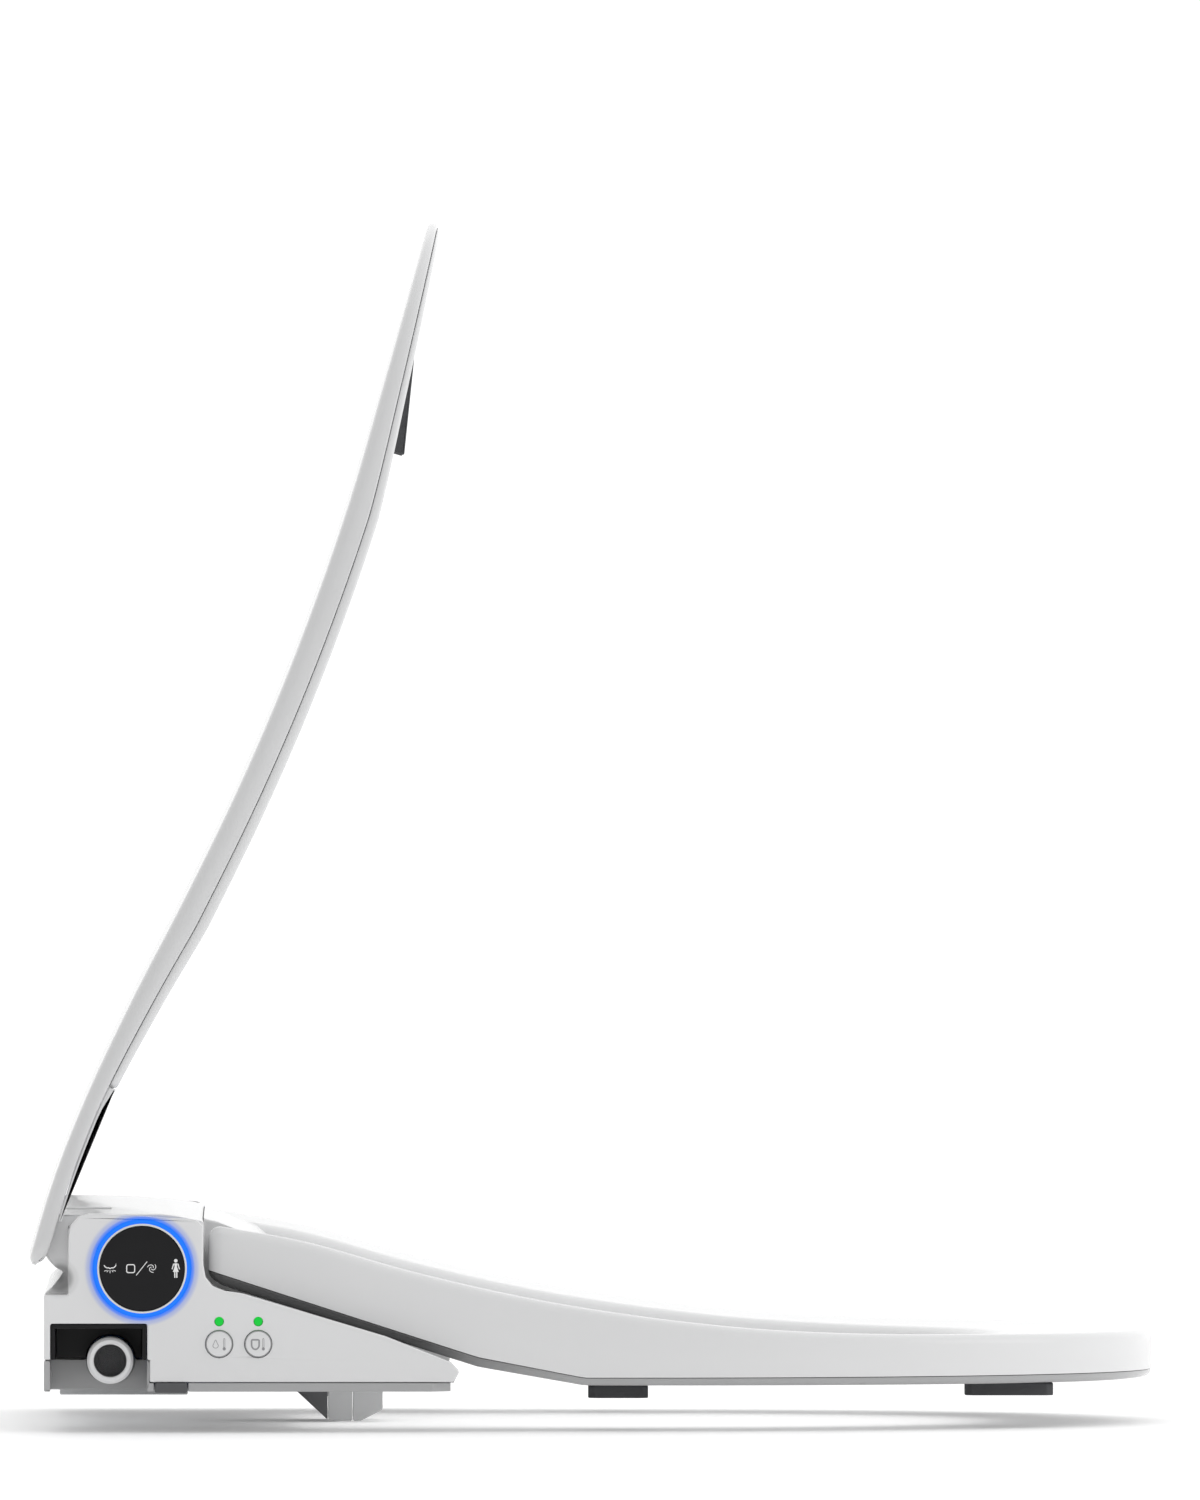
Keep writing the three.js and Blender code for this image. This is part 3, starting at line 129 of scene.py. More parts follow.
def curve_height(points, forward):
    """Smooth height at each forward position: a cubic between neighbouring points whose slope at
    each point is that of the line from the point before to the point after."""
    f, z = np.array(points, float).T
    slope = np.gradient(z, f)
    at = np.clip(np.searchsorted(f, forward) - 1, 0, len(f) - 2)
    step = f[at + 1] - f[at]
    t = (forward - f[at]) / step
    bent = (
        (1 + 2 * t) * (1 - t) ** 2 * z[at]
        + t * (1 - t) ** 2 * step * slope[at]
        + t**2 * (3 - 2 * t) * z[at + 1]
        + t**2 * (t - 1) * step * slope[at + 1]
    )
    before = z[0] + slope[0] * (forward - f[0])
    after = z[-1] + slope[-1] * (forward - f[-1])
    return np.where(forward < f[0], before, np.where(forward > f[-1], after, bent))


def level(points, forward):
    """Straight lines between the points, level beyond both ends."""
    f, z = np.array(points, float).T
    return np.interp(forward, f, z)


def eased(value, low, high):
    """0 below low, 1 above high and 3t^2 - 2t^3 between them."""
    t = np.clip((value - low) / (high - low), 0, 1)
    return t * t * (3 - 2 * t)


def rounded(points, radius, steps=5, closed=True):
    """Each corner becomes the parabola (1-t)^2 a + 2t(1-t) corner + t^2 b, where a and b lie
    the radius before and after the corner along its two sides."""
    p = np.asarray(points, float)
    before, after = np.roll(p, 1, 0) - p, np.roll(p, -1, 0) - p
    length_before = np.linalg.norm(before, axis=1, keepdims=True)
    length_after = np.linalg.norm(after, axis=1, keepdims=True)
    reach = np.minimum(
        np.broadcast_to(radius, len(p))[:, None], 0.45 * np.minimum(length_before, length_after)
    )
    a, b = p + before / length_before * reach, p + after / length_after * reach
    if not closed:
        a[[0, -1]], b[[0, -1]] = p[[0, -1]], p[[0, -1]]
    t = np.linspace(0, 1, steps + 1)[None, :, None]
    bend = (1 - t) ** 2 * a[:, None] + 2 * t * (1 - t) * p[:, None] + t**2 * b[:, None]
    return bend.reshape(-1, p.shape[1])


def spaced(points, count, closed):
    """The same line, with its points equally far apart along it."""
    p = np.vstack([points, points[:1]]) if closed else np.asarray(points, float)
    run = np.concatenate([[0], np.cumsum(np.linalg.norm(np.diff(p, axis=0), axis=1))])
    at = np.linspace(0, run[-1], count, endpoint=not closed)
    return np.stack([np.interp(at, run, p[:, k]) for k in range(p.shape[1])], axis=1)


def inward(loop):
    """Unit normals that point to the left of the way round the loop."""
    along = np.roll(loop, -1, 0) - np.roll(loop, 1, 0)
    along /= np.linalg.norm(along, axis=1, keepdims=True)
    return np.stack([-along[:, 1], along[:, 0]], axis=1)


def ring_side(rear, rear_half, shoulder, widest, half, front):
    """Right side and front of a seat-shaped plan, (across, forward): a side with one shoulder,
    then |x/half|^2.3 + |(f-widest)/(front-widest)|^2.3 = 1 to the front."""
    turn = np.linspace(0, np.pi / 2, 60)
    x = half * np.cos(turn) ** (2 / 2.3)
    f = widest + (front - widest) * np.sin(turn) ** (2 / 2.3)
    return np.vstack([[(rear_half, rear), shoulder], np.stack([x, f], axis=1)])


def both_sides(right):
    """The right side carried on round the front and back down the left."""
    return np.vstack([right, (right[:-1] * (-1, 1))[::-1]])


# ------------------------------------------------------------------ pieces


def place(across, forward, height):
    """Columns of metres in the shared frame from millimetres across, forward and up."""
    return np.stack([across, -np.asarray(forward, float), height], axis=-1) * MM


def grid_faces(rows, columns, round_columns, round_rows=False):
    """Four-sided faces of a grid, joined up round its columns or its rows where asked."""
    row = np.arange(rows if round_rows else rows - 1)[:, None]
    column = np.arange(columns if round_columns else columns - 1)[None, :]
    next_row, next_column = (row + 1) % rows, (column + 1) % columns
    corners = [
        row * columns + column, row * columns + next_column,
        next_row * columns + next_column, next_row * columns + column,
    ]
    grid = [np.broadcast_to(c, (len(row), column.size)) for c in corners]
    return np.stack(grid, -1).reshape(-1, 4)


def make_piece(name, points, faces, body, slot, replaces=(), crease=34, material=None):
    """One named object from points in metres: coincident points are merged, faces are turned
    outwards, and edges sharper than crease stay crisp."""
    mesh = bpy.data.meshes.new(name)
    corners = np.asarray(points, float).reshape(-1, 3)
    mesh.from_pydata(corners.tolist(), [], [list(f) for f in faces])
    worked = bmesh.new()
    worked.from_mesh(mesh)
    bmesh.ops.remove_doubles(worked, verts=worked.verts, dist=2e-6)
    bmesh.ops.dissolve_degenerate(worked, edges=worked.edges, dist=1e-7)
    bmesh.ops.recalc_face_normals(worked, faces=worked.faces)
    worked.to_mesh(mesh)
    worked.free()
    mesh.shade_smooth()
    mesh.set_sharp_from_angle(angle=np.radians(crease))
    piece = bpy.data.objects.new(name, mesh)
    bpy.context.scene.collection.objects.link(piece)
    mesh.materials.append(material or FINISH[slot])
    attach(piece, body)
    if replaces:
        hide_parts(*replaces)
    return piece


def zipped(around, mirror):
    """Faces that close a narrow loop along its middle: point k is joined to point mirror - k."""
    faces = []
    for k in range(mirror // 2, mirror // 2 + around // 2):
        corners = [k % around, (k + 1) % around, (mirror - k - 1) % around, (mirror - k) % around]
        faces.append(list(dict.fromkeys(corners)))
    return faces


def stacked(name, rows, body, slot, replaces=(), crease=34, material=None, mirror=None):
    """A closed surface from loops of points stacked one after the other. The first and the last
    loop are closed by one flat face each, or along their middles where mirror is given."""
    rows = np.asarray(rows, float)
    count, around = rows.shape[:2]
    faces = [list(f) for f in grid_faces(count, around, True)]
    cap = [list(range(around))] if mirror is None else zipped(around, mirror)
    faces += cap
    faces += [[(count - 1) * around + k for k in face[::-1]] for face in cap]
    return make_piece(name, rows, faces, body, slot, replaces, crease, material)


def turned(name, centre, profile, body, slot, replaces=(), around=96):
    """A profile of (x, radius) swept round the line across the width through centre, which is
    (forward, height). The profile is a closed loop unless it starts and ends on the line."""
    x, radius = np.asarray(profile, float).T
    angle = np.linspace(0, 2 * np.pi, around, endpoint=False)
    across = np.broadcast_to(x[:, None], (len(x), around))
    forward = centre[0] + radius[:, None] * np.cos(angle)
    height = centre[1] + radius[:, None] * np.sin(angle)
    solid = radius[0] == 0 and radius[-1] == 0
    faces = grid_faces(len(x), around, True, round_rows=not solid)
    return make_piece(name, place(across, forward, height), faces, body, slot, replaces)


def slab(name, outline, x0, x1, edge, body, slot, replaces=(), turn=None):
    """An outline of (forward, height) carried across the width from x0 to x1. Near both ends it
    shrinks by edge * (1 - sin a) while it moves in by edge * (1 - cos a), a quarter round."""
    loop = np.asarray(outline, float)
    area = np.sum(loop[:, 0] * np.roll(loop[:, 1], -1) - np.roll(loop[:, 0], -1) * loop[:, 1])
    loop = loop if area > 0 else loop[::-1]
    normal = inward(loop)
    a = np.linspace(0, np.pi / 2, 5)
    shrink = edge * (1 - np.sin(a))
    along = edge * (1 - np.cos(a))
    across = np.concatenate([x0 + along, x1 - along[::-1]])
    inset = np.concatenate([shrink, shrink[::-1]])
    flat = loop[None] + normal[None] * inset[:, None, None]
    points = place(
        np.broadcast_to(across[:, None], flat.shape[:2]), flat[..., 0], flat[..., 1]
    )
    if turn:
        points = turn(points)
    return stacked(name, points, body, slot, replaces)


def softened(node, width, segments=2, crease=30, shortest=0.0):
    """A solid's own faces, merged, with each edge sharper than crease and longer than shortest
    rounded by width."""
    mesh = frame["nodes"][node].data.copy()
    mesh.name = node + "_moulding"
    worked = bmesh.new()
    worked.from_mesh(mesh)
    bmesh.ops.remove_doubles(worked, verts=worked.verts, dist=3e-6)
    bmesh.ops.dissolve_degenerate(worked, edges=worked.edges, dist=2e-6)
    bmesh.ops.recalc_face_normals(worked, faces=worked.faces)
    weight = worked.edges.layers.float.new("bevel_weight_edge")
    for edge in worked.edges:
        sharp = len(edge.link_faces) == 2 and edge.calc_face_angle() > np.radians(crease)
        edge[weight] = float(sharp and edge.calc_length() > shortest * MM)
    worked.to_mesh(mesh)
    worked.free()
    mesh.shade_smooth()
    mesh.set_sharp_from_angle(angle=np.radians(crease))
    piece = bpy.data.objects.new(mesh.name, mesh)
    bpy.context.scene.collection.objects.link(piece)
    mesh.materials.clear()
    mesh.materials.append(FINISH[SLOT_OF[node]])
    bevel = piece.modifiers.new("soft edges", "BEVEL")
    bevel.width = width * MM
    bevel.segments = segments
    bevel.limit_method = "WEIGHT"
    bevel.use_clamp_overlap = False
    bevel.harden_normals = False
    normals = piece.modifiers.new("flat faces", "WEIGHTED_NORMAL")
    normals.keep_sharp = True
    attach(piece, BODY_OF[node])
    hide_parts(node)
    return piece


def axis_of(node):
    """The middle of a node's box as (forward, height)."""
    low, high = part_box(node)
    return -(low.y + high.y) / 2 / MM, (low.z + high.z) / 2 / MM


def radius_of(node):
    """Half the height of a node's box."""
    low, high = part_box(node)
    return (high.z - low.z) / 2 / MM


# ------------------------------------------------------------------ finishes


def finish(name, color, roughness, coat=0.0, grain=900.0, relief=0.02, metallic=0.0, mottle=0.03):
    """A moulded or drawn surface: fine relief from noise, and a slow drift in colour and gloss."""
    material = bpy.data.materials.new(name)
    material.use_nodes = True
    nodes, links = material.node_tree.nodes, material.node_tree.links
    shader = nodes["Principled BSDF"]
    shader.inputs["Metallic"].default_value = metallic
    shader.inputs["Coat Weight"].default_value = coat
    shader.inputs["Coat Roughness"].default_value = 0.06
    where = nodes.new("ShaderNodeTexCoord")
    drift = nodes.new("ShaderNodeTexNoise")
    drift.inputs["Scale"].default_value = 9.0
    drift.inputs["Detail"].default_value = 3.0
    links.new(where.outputs["Object"], drift.inputs["Vector"])
    tint = nodes.new("ShaderNodeValToRGB")
    tint.color_ramp.elements[0].position = 0.3
    tint.color_ramp.elements[1].position = 0.7
    tint.color_ramp.elements[0].color = (*[c * (1 - mottle) for c in color], 1)
    tint.color_ramp.elements[1].color = (*[min(1, c * (1 + mottle)) for c in color], 1)
    links.new(drift.outputs["Fac"], tint.inputs["Fac"])
    links.new(tint.outputs["Color"], shader.inputs["Base Color"])
    fine = nodes.new("ShaderNodeTexNoise")
    fine.inputs["Scale"].default_value = grain
    fine.inputs["Detail"].default_value = 4.0
    links.new(where.outputs["Object"], fine.inputs["Vector"])
    gloss = nodes.new("ShaderNodeMapRange")
    gloss.inputs["To Min"].default_value = roughness * 0.85
    gloss.inputs["To Max"].default_value = roughness * 1.15
    links.new(fine.outputs["Fac"], gloss.inputs["Value"])
    links.new(gloss.outputs["Result"], shader.inputs["Roughness"])
    bump = nodes.new("ShaderNodeBump")
    bump.inputs["Strength"].default_value = relief
    bump.inputs["Distance"].default_value = 0.0004
    links.new(fine.outputs["Fac"], bump.inputs["Height"])
    links.new(bump.outputs["Normal"], shader.inputs["Normal"])
    return material


def parts_of(material):
    """A material's nodes, its links and its main shader."""
    nodes = material.node_tree.nodes
    return nodes, material.node_tree.links, nodes["Principled BSDF"]


def distance_from(material, x, forward, height, flat=False):
    """A node output that holds the distance, in metres, from a point, or from the line across
    the width through it."""
    nodes, links, _ = parts_of(material)
    where = nodes.new("ShaderNodeTexCoord")
    shift = nodes.new("ShaderNodeMapping")
    across = 0 if flat else -x * MM
    shift.inputs["Location"].default_value = (across, forward * MM, -height * MM)
    if flat:
        shift.inputs["Scale"].default_value = (0, 1, 1)
    links.new(where.outputs["Object"], shift.inputs["Vector"])
    length = nodes.new("ShaderNodeVectorMath")
    length.operation = "LENGTH"
    links.new(shift.outputs["Vector"], length.inputs[0])
    return length.outputs["Value"]


def ramp_along(material, value, stops, interpolation="EASE"):
    """A node output that holds a colour by value: stops are pairs of (value, colour)."""
    nodes, links, _ = parts_of(material)
    low, high = stops[0][0], stops[-1][0]
    span = nodes.new("ShaderNodeMapRange")
    span.inputs["From Min"].default_value = low
    span.inputs["From Max"].default_value = high
    links.new(value, span.inputs["Value"])
    ramp = nodes.new("ShaderNodeValToRGB")
    ramp.color_ramp.interpolation = interpolation
    elements = ramp.color_ramp.elements
    for i, (at, color) in enumerate(stops):
        place_on = (at - low) / (high - low)
        element = elements[i] if i < 2 else elements.new(place_on)
        element.position = place_on
        element.color = (*color, 1)
    links.new(span.outputs["Result"], ramp.inputs["Fac"])
    return ramp.outputs["Color"]


def over_base(material, blend, factor, color):
    """Lays a colour over the base colour. Factor and color are each a node output or a value."""
    nodes, links, shader = parts_of(material)
    mix = nodes.new("ShaderNodeMix")
    mix.data_type = "RGBA"
    mix.blend_type = blend
    base = shader.inputs["Base Color"].links[0].from_socket
    for socket, given in (("Factor", factor), ("A", base), ("B", color)):
        if isinstance(given, bpy.types.NodeSocket):
            links.new(given, mix.inputs[socket])
        else:
            mix.inputs[socket].default_value = given
    links.new(mix.outputs["Result"], shader.inputs["Base Color"])


def glow(material, distance, stops, color, strength):
    """Light given off by distance: stops are pairs of (metres, share of strength)."""
    _, links, shader = parts_of(material)
    colors = [(at, [c * share for c in color]) for at, share in stops]
    links.new(ramp_along(material, distance, colors), shader.inputs["Emission Color"])
    shader.inputs["Emission Strength"].default_value = strength


def tinted(material, distance, stops, color):
    """Mixes a colour in by distance, here painted shade and painted light: stops are pairs of
    (metres, share).
    """
    shares = ramp_along(material, distance, [(at, [share] * 3) for at, share in stops])
    over_base(material, "MIX", shares, (*color, 1))


def shaded_by_height(material, stops):
    """Paints shade into the colour by height: stops are pairs of (millimetres, share of the
    colour).
    """
    nodes, links, _ = parts_of(material)
    where = nodes.new("ShaderNodeTexCoord")
    split = nodes.new("ShaderNodeSeparateXYZ")
    links.new(where.outputs["Object"], split.inputs["Vector"])
    colors = [(at * MM, [share] * 3) for at, share in stops]
    over_base(material, "MULTIPLY", 1, ramp_along(material, split.outputs["Z"], colors, "LINEAR"))


SCRATCH_STRETCH = (4, 260, 260)


def brushed(material):
    """Fine scratches that run across the width."""
    nodes, links, shader = parts_of(material)
    where = nodes.new("ShaderNodeTexCoord")
    stretch = nodes.new("ShaderNodeMapping")
    stretch.inputs["Scale"].default_value = SCRATCH_STRETCH
    lines = nodes.new("ShaderNodeTexNoise")
    lines.inputs["Scale"].default_value = 12
    links.new(where.outputs["Object"], stretch.inputs["Vector"])
    links.new(stretch.outputs["Vector"], lines.inputs["Vector"])
    bump = nodes.new("ShaderNodeBump")
    bump.inputs["Strength"].default_value = 0.15
    bump.inputs["Distance"].default_value = 0.0002
    links.new(lines.outputs["Fac"], bump.inputs["Height"])
    links.new(bump.outputs["Normal"], shader.inputs["Normal"])
    return material


GRAIN_EDGE = 0.12


def cells(material, scale, other, share):
    """Grains or pads of a second colour in the middle of each cell. Share sets their size."""
    nodes, links, _ = parts_of(material)
    where = nodes.new("ShaderNodeTexCoord")
    grains = nodes.new("ShaderNodeTexVoronoi")
    grains.inputs["Scale"].default_value = scale
    links.new(where.outputs["Object"], grains.inputs["Vector"])
    ramp = nodes.new("ShaderNodeValToRGB")
    ramp.color_ramp.elements[0].position = share
    ramp.color_ramp.elements[1].position = share + GRAIN_EDGE
    ramp.color_ramp.elements[0].color = (*other, 1)
    links.new(grains.outputs["Distance"], ramp.inputs["Fac"])
    over_base(material, "MULTIPLY", 1, ramp.outputs["Color"])
    return material


FINISH = {
    "white_gloss": finish(
        "white gloss plastic", (0.74, 0.742, 0.746), 0.24, 0.25, 700, 0.012, mottle=0.006
    ),
    "light_grey_plastic": finish("light grey moulding", (0.60, 0.61, 0.62), 0.45, 0, 2600, 0.12),
    "mid_grey_plastic": finish("mid grey casing", (0.40, 0.402, 0.406), 0.38, 0.1, 2400, 0.10),
    "dark_grey_plastic": finish(
        "dark grey moulding", (0.085, 0.086, 0.09), 0.5, 0, 2600, 0.15
    ),
    "black_gloss": finish("black gloss panel", (0.010, 0.010, 0.011), 0.3, 0, 700, 0.01),
    "bumper_rubber": finish(
        "bumper rubber", (0.055, 0.056, 0.06), 0.75, 0, 3200, 0.3, mottle=0.12
    ),
    "blue_light": finish("blue light guide", (0.004, 0.02, 0.10), 0.5, 0, 900, 0.02),
    "green_light": finish("green indicator lens", (0.004, 0.05, 0.01), 0.4, 0, 900, 0.02),
    "steel": brushed(
        finish("brushed steel", (0.55, 0.56, 0.57), 0.28, 0, 900, 0.05, metallic=1.0)
    ),
    "circuit_board": cells(
        finish("green circuit board", (0.03, 0.17, 0.07), 0.35, 0.3, 1500, 0.1),
        420, (0.55, 0.75, 0.3), 0.1,
    ),
    "heater_foil": finish("heater foil", (0.62, 0.63, 0.64), 0.3, 0, 420, 0.4, metallic=1.0),
    "carbon": cells(
        finish("carbon granules", (0.05, 0.05, 0.052), 0.95, 0, 900, 0.6),
        700, (0.2, 0.2, 0.2), 0.25,
    ),
    "guard_grey": finish("smoky clear guard", (0.60, 0.605, 0.61), 0.2, 0.3, 900, 0.02),
}
GUARD_CLEARNESS = 0.2
DIM_REFLECTION = 0.18  # keeps the dark panel and the lights from greying over
parts_of(FINISH["guard_grey"])[2].inputs["Transmission Weight"].default_value = GUARD_CLEARNESS
for slot in ("black_gloss", "blue_light", "green_light"):
    parts_of(FINISH[slot])[2].inputs["Specular IOR Level"].default_value = DIM_REFLECTION

for node, cad in frame["nodes"].items():
    cad.data.materials.clear()
    cad.data.materials.append(FINISH[SLOT_OF[node]])

# ------------------------------------------------------------------ lid

hinge = joints["lid_hinge"]["pos_m"]
HINGE = (-hinge[1] / MM, hinge[2] / MM)  # forward, height


def opened(points):
    """Points of the closed lid turned about the hinge: y and z go round it by LID_OPEN."""
    angle = np.radians(-LID_OPEN)
    y, z = points[..., 1] - hinge[1], points[..., 2] - hinge[2]
    turned_y = y * np.cos(angle) - z * np.sin(angle)
    turned_z = y * np.sin(angle) + z * np.cos(angle)
    return np.stack([points[..., 0], turned_y + hinge[1], turned_z + hinge[2]], -1)


def lid_loop(rear, corner, inset):
    """The lid's plan, inset all round, with its two rear corners rounded by corner."""
    right = ring_side(
        rear, LID_HALF_WIDTH - inset, (LID_HALF_WIDTH - inset, max(90, rear + 20)), LID_WIDEST,
        LID_HALF_WIDTH - inset, LID_FRONT - inset,
    )
    whole = both_sides(right)
    radius = np.zeros(len(whole))
    radius[[0, -1]] = corner
    return spaced(rounded(whole, radius, 8), LID_LOOP_POINTS, True)


def mirror_of(loop):
    """The even number m for which point m - k lies closest to the mirror image of point k."""
    length = np.sum(np.linalg.norm(np.roll(loop, -1, 0) - loop, axis=1))
    return 2 * int(round(len(loop) * (length - 2 * loop[0, 0]) / length / 2))


def lid_surface(across, forward):
    """Height of the closed lid's top: its centre line less LID_CROWN * (x / half width)^2."""
    return curve_height(LID_TOP, forward) - LID_CROWN * (across / LID_HALF_WIDTH) ** 2


def lid_rows(loop, steps):
    """Loops of the lid's shell. Each step is (inset, depth, share): the loop moved inwards by
    inset, then share of the way to the spine, at that depth below the top surface."""
    normal = inward(loop)
    spine = np.stack([np.zeros(len(loop)), np.clip(loop[:, 1], loop[:, 1].min() + 70, 330)], 1)
    rows = []
    for inset, depth, share in steps:
        at = loop + normal * np.reshape(inset, (-1, 1))
        at = at * (1 - share) + spine * share
        x, f = at.T
        rows.append(opened(place(x, f, lid_surface(x, f) - depth)))
    return rows


shell = lid_loop(LID_REAR, 10, 0)
shell_f = shell[:, 1]
rim = level(RIM_DEPTH, shell_f)
edge = np.minimum(5.5, 0.72 * rim)
under = 0.7 + 2.3 * (1 - eased(shell_f, LID_REAR, -31))
steps = [(edge, 0, share) for share in (0.99, 0.9, 0.75, 0.58, 0.42, 0.28, 0.16, 0.07)]
for a in np.linspace(0, np.pi / 2, 7):
    steps.append((edge * (1 - np.sin(a)), edge * (1 - np.cos(a)), 0))
steps += [
    (0, rim - under * 1.05, 0), (under * 0.3, rim - under * 0.3, 0), (under, rim, 0),
    (LID_RIM - 0.5, rim, 0), (LID_RIM, rim - 0.5, 0), (LID_RIM, LID_PANEL + 0.3, 0),
    (LID_RIM + 0.5, LID_PANEL, 0),
]
steps += [(LID_RIM + 0.5, LID_PANEL, share) for share in (0.1, 0.28, 0.5, 0.75, 0.99)]
# Painted shade: the lid's shell is a darker copy of the white gloss plastic that the lining and
# the cover use.
lid_shell_painted_shade = finish("white gloss lid", (0.66, 0.662, 0.666), 0.24, 0.25, 700, 0.012, mottle=0.006)
stacked(
    "lid_shell", lid_rows(shell, steps), "lid", "white_gloss", ["lid_outer"], 50, lid_shell_painted_shade,
    mirror_of(shell),
)

inner = lid_loop(LINING_REAR, 4, LIP_INSET)
inner_x, inner_f = inner.T
has_lip = np.maximum(eased(np.abs(inner_x), 178, 184), eased(inner_f, 90, 150))
over_lining = LID_PANEL + GAP
under_lining = over_lining + LID_LINING
lip_top = has_lip * (level(RIM_DEPTH, inner_f) + GAP) + (1 - has_lip) * over_lining
lip = has_lip * level(LIP_DEPTH, inner_f) + (1 - has_lip) * under_lining
fillet = np.minimum(2.5, 0.4 * (lip - under_lining))
clear = LID_RIM - LIP_INSET + GAP
steps = [(LIP_WIDTH + 8, over_lining, share) for share in (0.99, 0.7, 0.4, 0.2, 0)]
steps += [
    (clear, over_lining, 0), (clear, lip_top, 0), (0.4, lip_top, 0),
    (0, lip_top + 0.4 * has_lip, 0),
    (0, lip - 1.2 * has_lip, 0), (0.35, lip - 0.35 * has_lip, 0), (1.2, lip, 0),
    (LIP_WIDTH - 2.4, lip, 0), (LIP_WIDTH - 1.4, lip - 0.4 * has_lip, 0),
    (LIP_WIDTH - 1, lip - 1.4 * has_lip, 0), (LIP_WIDTH, under_lining + fillet, 0),
    (LIP_WIDTH + 0.8, under_lining + fillet * 0.3, 0), (LIP_WIDTH + 3, under_lining, 0),
]
steps += [(LIP_WIDTH + 8, under_lining, share) for share in (0, 0.2, 0.4, 0.7, 0.99)]
stacked(
    "lid_liner", lid_rows(inner, steps), "lid", "white_gloss", ["lid_lining"], 50,
    mirror=mirror_of(inner),
)

for side, sign in (("left", 1), ("right", -1)):
    f = np.linspace(-14, LINING_REAR - 0.2, 14)
    surface = curve_height(LID_TOP, f) - LID_CROWN
    upper = surface - level(RIM_DEPTH, f) - GAP
    lower = surface - level(LIP_DEPTH, f) + LIP_RAISE * (1 - eased(f, 36, LINING_REAR))
    strip = np.vstack([np.stack([f, lower], 1), np.stack([f, upper], 1)[::-1]])
    lip_side = LID_HALF_WIDTH - LIP_INSET
    ends = sorted((sign * lip_side, sign * (lip_side - LIP_WIDTH)))
    slab(
        f"lid_lip_{side}", rounded(strip, 0.6, 2), *ends, LID_PART_EDGE, "lid", "white_gloss",
        turn=opened,
    )
    turn = np.radians(np.linspace(150, 390, 30))
    lug = np.stack([HINGE[0] + LUG_RADIUS * np.cos(turn), HINGE[1] + LUG_RADIUS * np.sin(turn)], 1)
    lug = np.vstack([lug, [(HINGE[0] + 7, HINGE[1] + 17), (HINGE[0] - 7, HINGE[1] + 17)]])
    ends = sorted(sign * x for x in LUG_X)
    slab(f"lid_lug_{side}", lug, *ends, LID_PART_EDGE, "lid", "white_gloss", turn=opened)
    low, high = LID_PAD
    rest = curve_height(SEAT_TOP, np.array(low)) + 0.6
    lip_end = curve_height(LID_TOP, np.array(high)) - level(LIP_DEPTH, high) - 0.2
    pad_top = under_lining + GAP + 0.1
    tops = [(f, curve_height(LID_TOP, np.array(f)) - pad_top) for f in (high, low)]
    wedge = rounded([(low, rest), (high, lip_end), *tops], 0.8, 3)
    ends = sorted(sign * (LID_PAD_X + half) for half in (-LID_PAD_WIDTH / 2, LID_PAD_WIDTH / 2))
    slab(
        f"lid_pad_{side}", wedge, *ends, LID_PART_EDGE, "lid", "bumper_rubber",
        [f"lid_bumper_{side}"], opened,
    )

# ------------------------------------------------------------------ seat

outer = spaced(both_sides(ring_side(
    SEAT_REAR, SEAT_REAR_HALF, (SEAT_HALF_WIDTH - 2, 98), LID_WIDEST, SEAT_HALF_WIDTH, SEAT_FRONT,
)), SEAT_PATH_POINTS, False)
opening = spaced(both_sides(ring_side(
    SEAT_REAR, SEAT_HOLE_REAR_HALF, (SEAT_HOLE_REAR_HALF, 96), LID_WIDEST + 15, SEAT_HOLE_HALF,
    SEAT_HOLE_FRONT,
)), SEAT_PATH_POINTS, False)


def seat_stations():
    """Ring stations: an index along the paths, and how far each section is shrunk near an end.
    Over the last SEAT_END millimetres the section shrinks by SEAT_END * (1 - sin a)."""
    run = np.concatenate([[0], np.cumsum(np.linalg.norm(np.diff(outer, axis=0), axis=1))])
    a = np.linspace(0, np.pi / 2, 8)
    near = SEAT_END * (1 - np.cos(a))
    between = np.linspace(near[-1] + 3, run[-1] - near[-1] - 3, SEAT_STATIONS)
    at = np.concatenate([near, between, run[-1] - near[::-1]])
    less = SEAT_END * (1 - np.sin(a))
    shrink = np.concatenate([less, np.zeros(SEAT_STATIONS), less[::-1]])
    path = np.arange(len(outer))
    return np.interp(at, run, path), shrink


def seat_section(section):
    """Carries a section round the ring. section(width, shrink) gives each point's share of the
    way in from the outer edge, and a function for its height."""
    at, shrink = seat_stations()
    whole = np.arange(len(outer))
    start = np.stack([np.interp(at, whole, outer[:, k]) for k in (0, 1)], 1)
    end = np.stack([np.interp(at, whole, opening[:, k]) for k in (0, 1)], 1)
    width = np.linalg.norm(end - start, axis=1)
    share, height = section(width, shrink)
    plan = start[:, None] * (1 - share[..., None]) + end[:, None] * share[..., None]
    return place(plan[..., 0], plan[..., 1], height(plan[..., 1]))


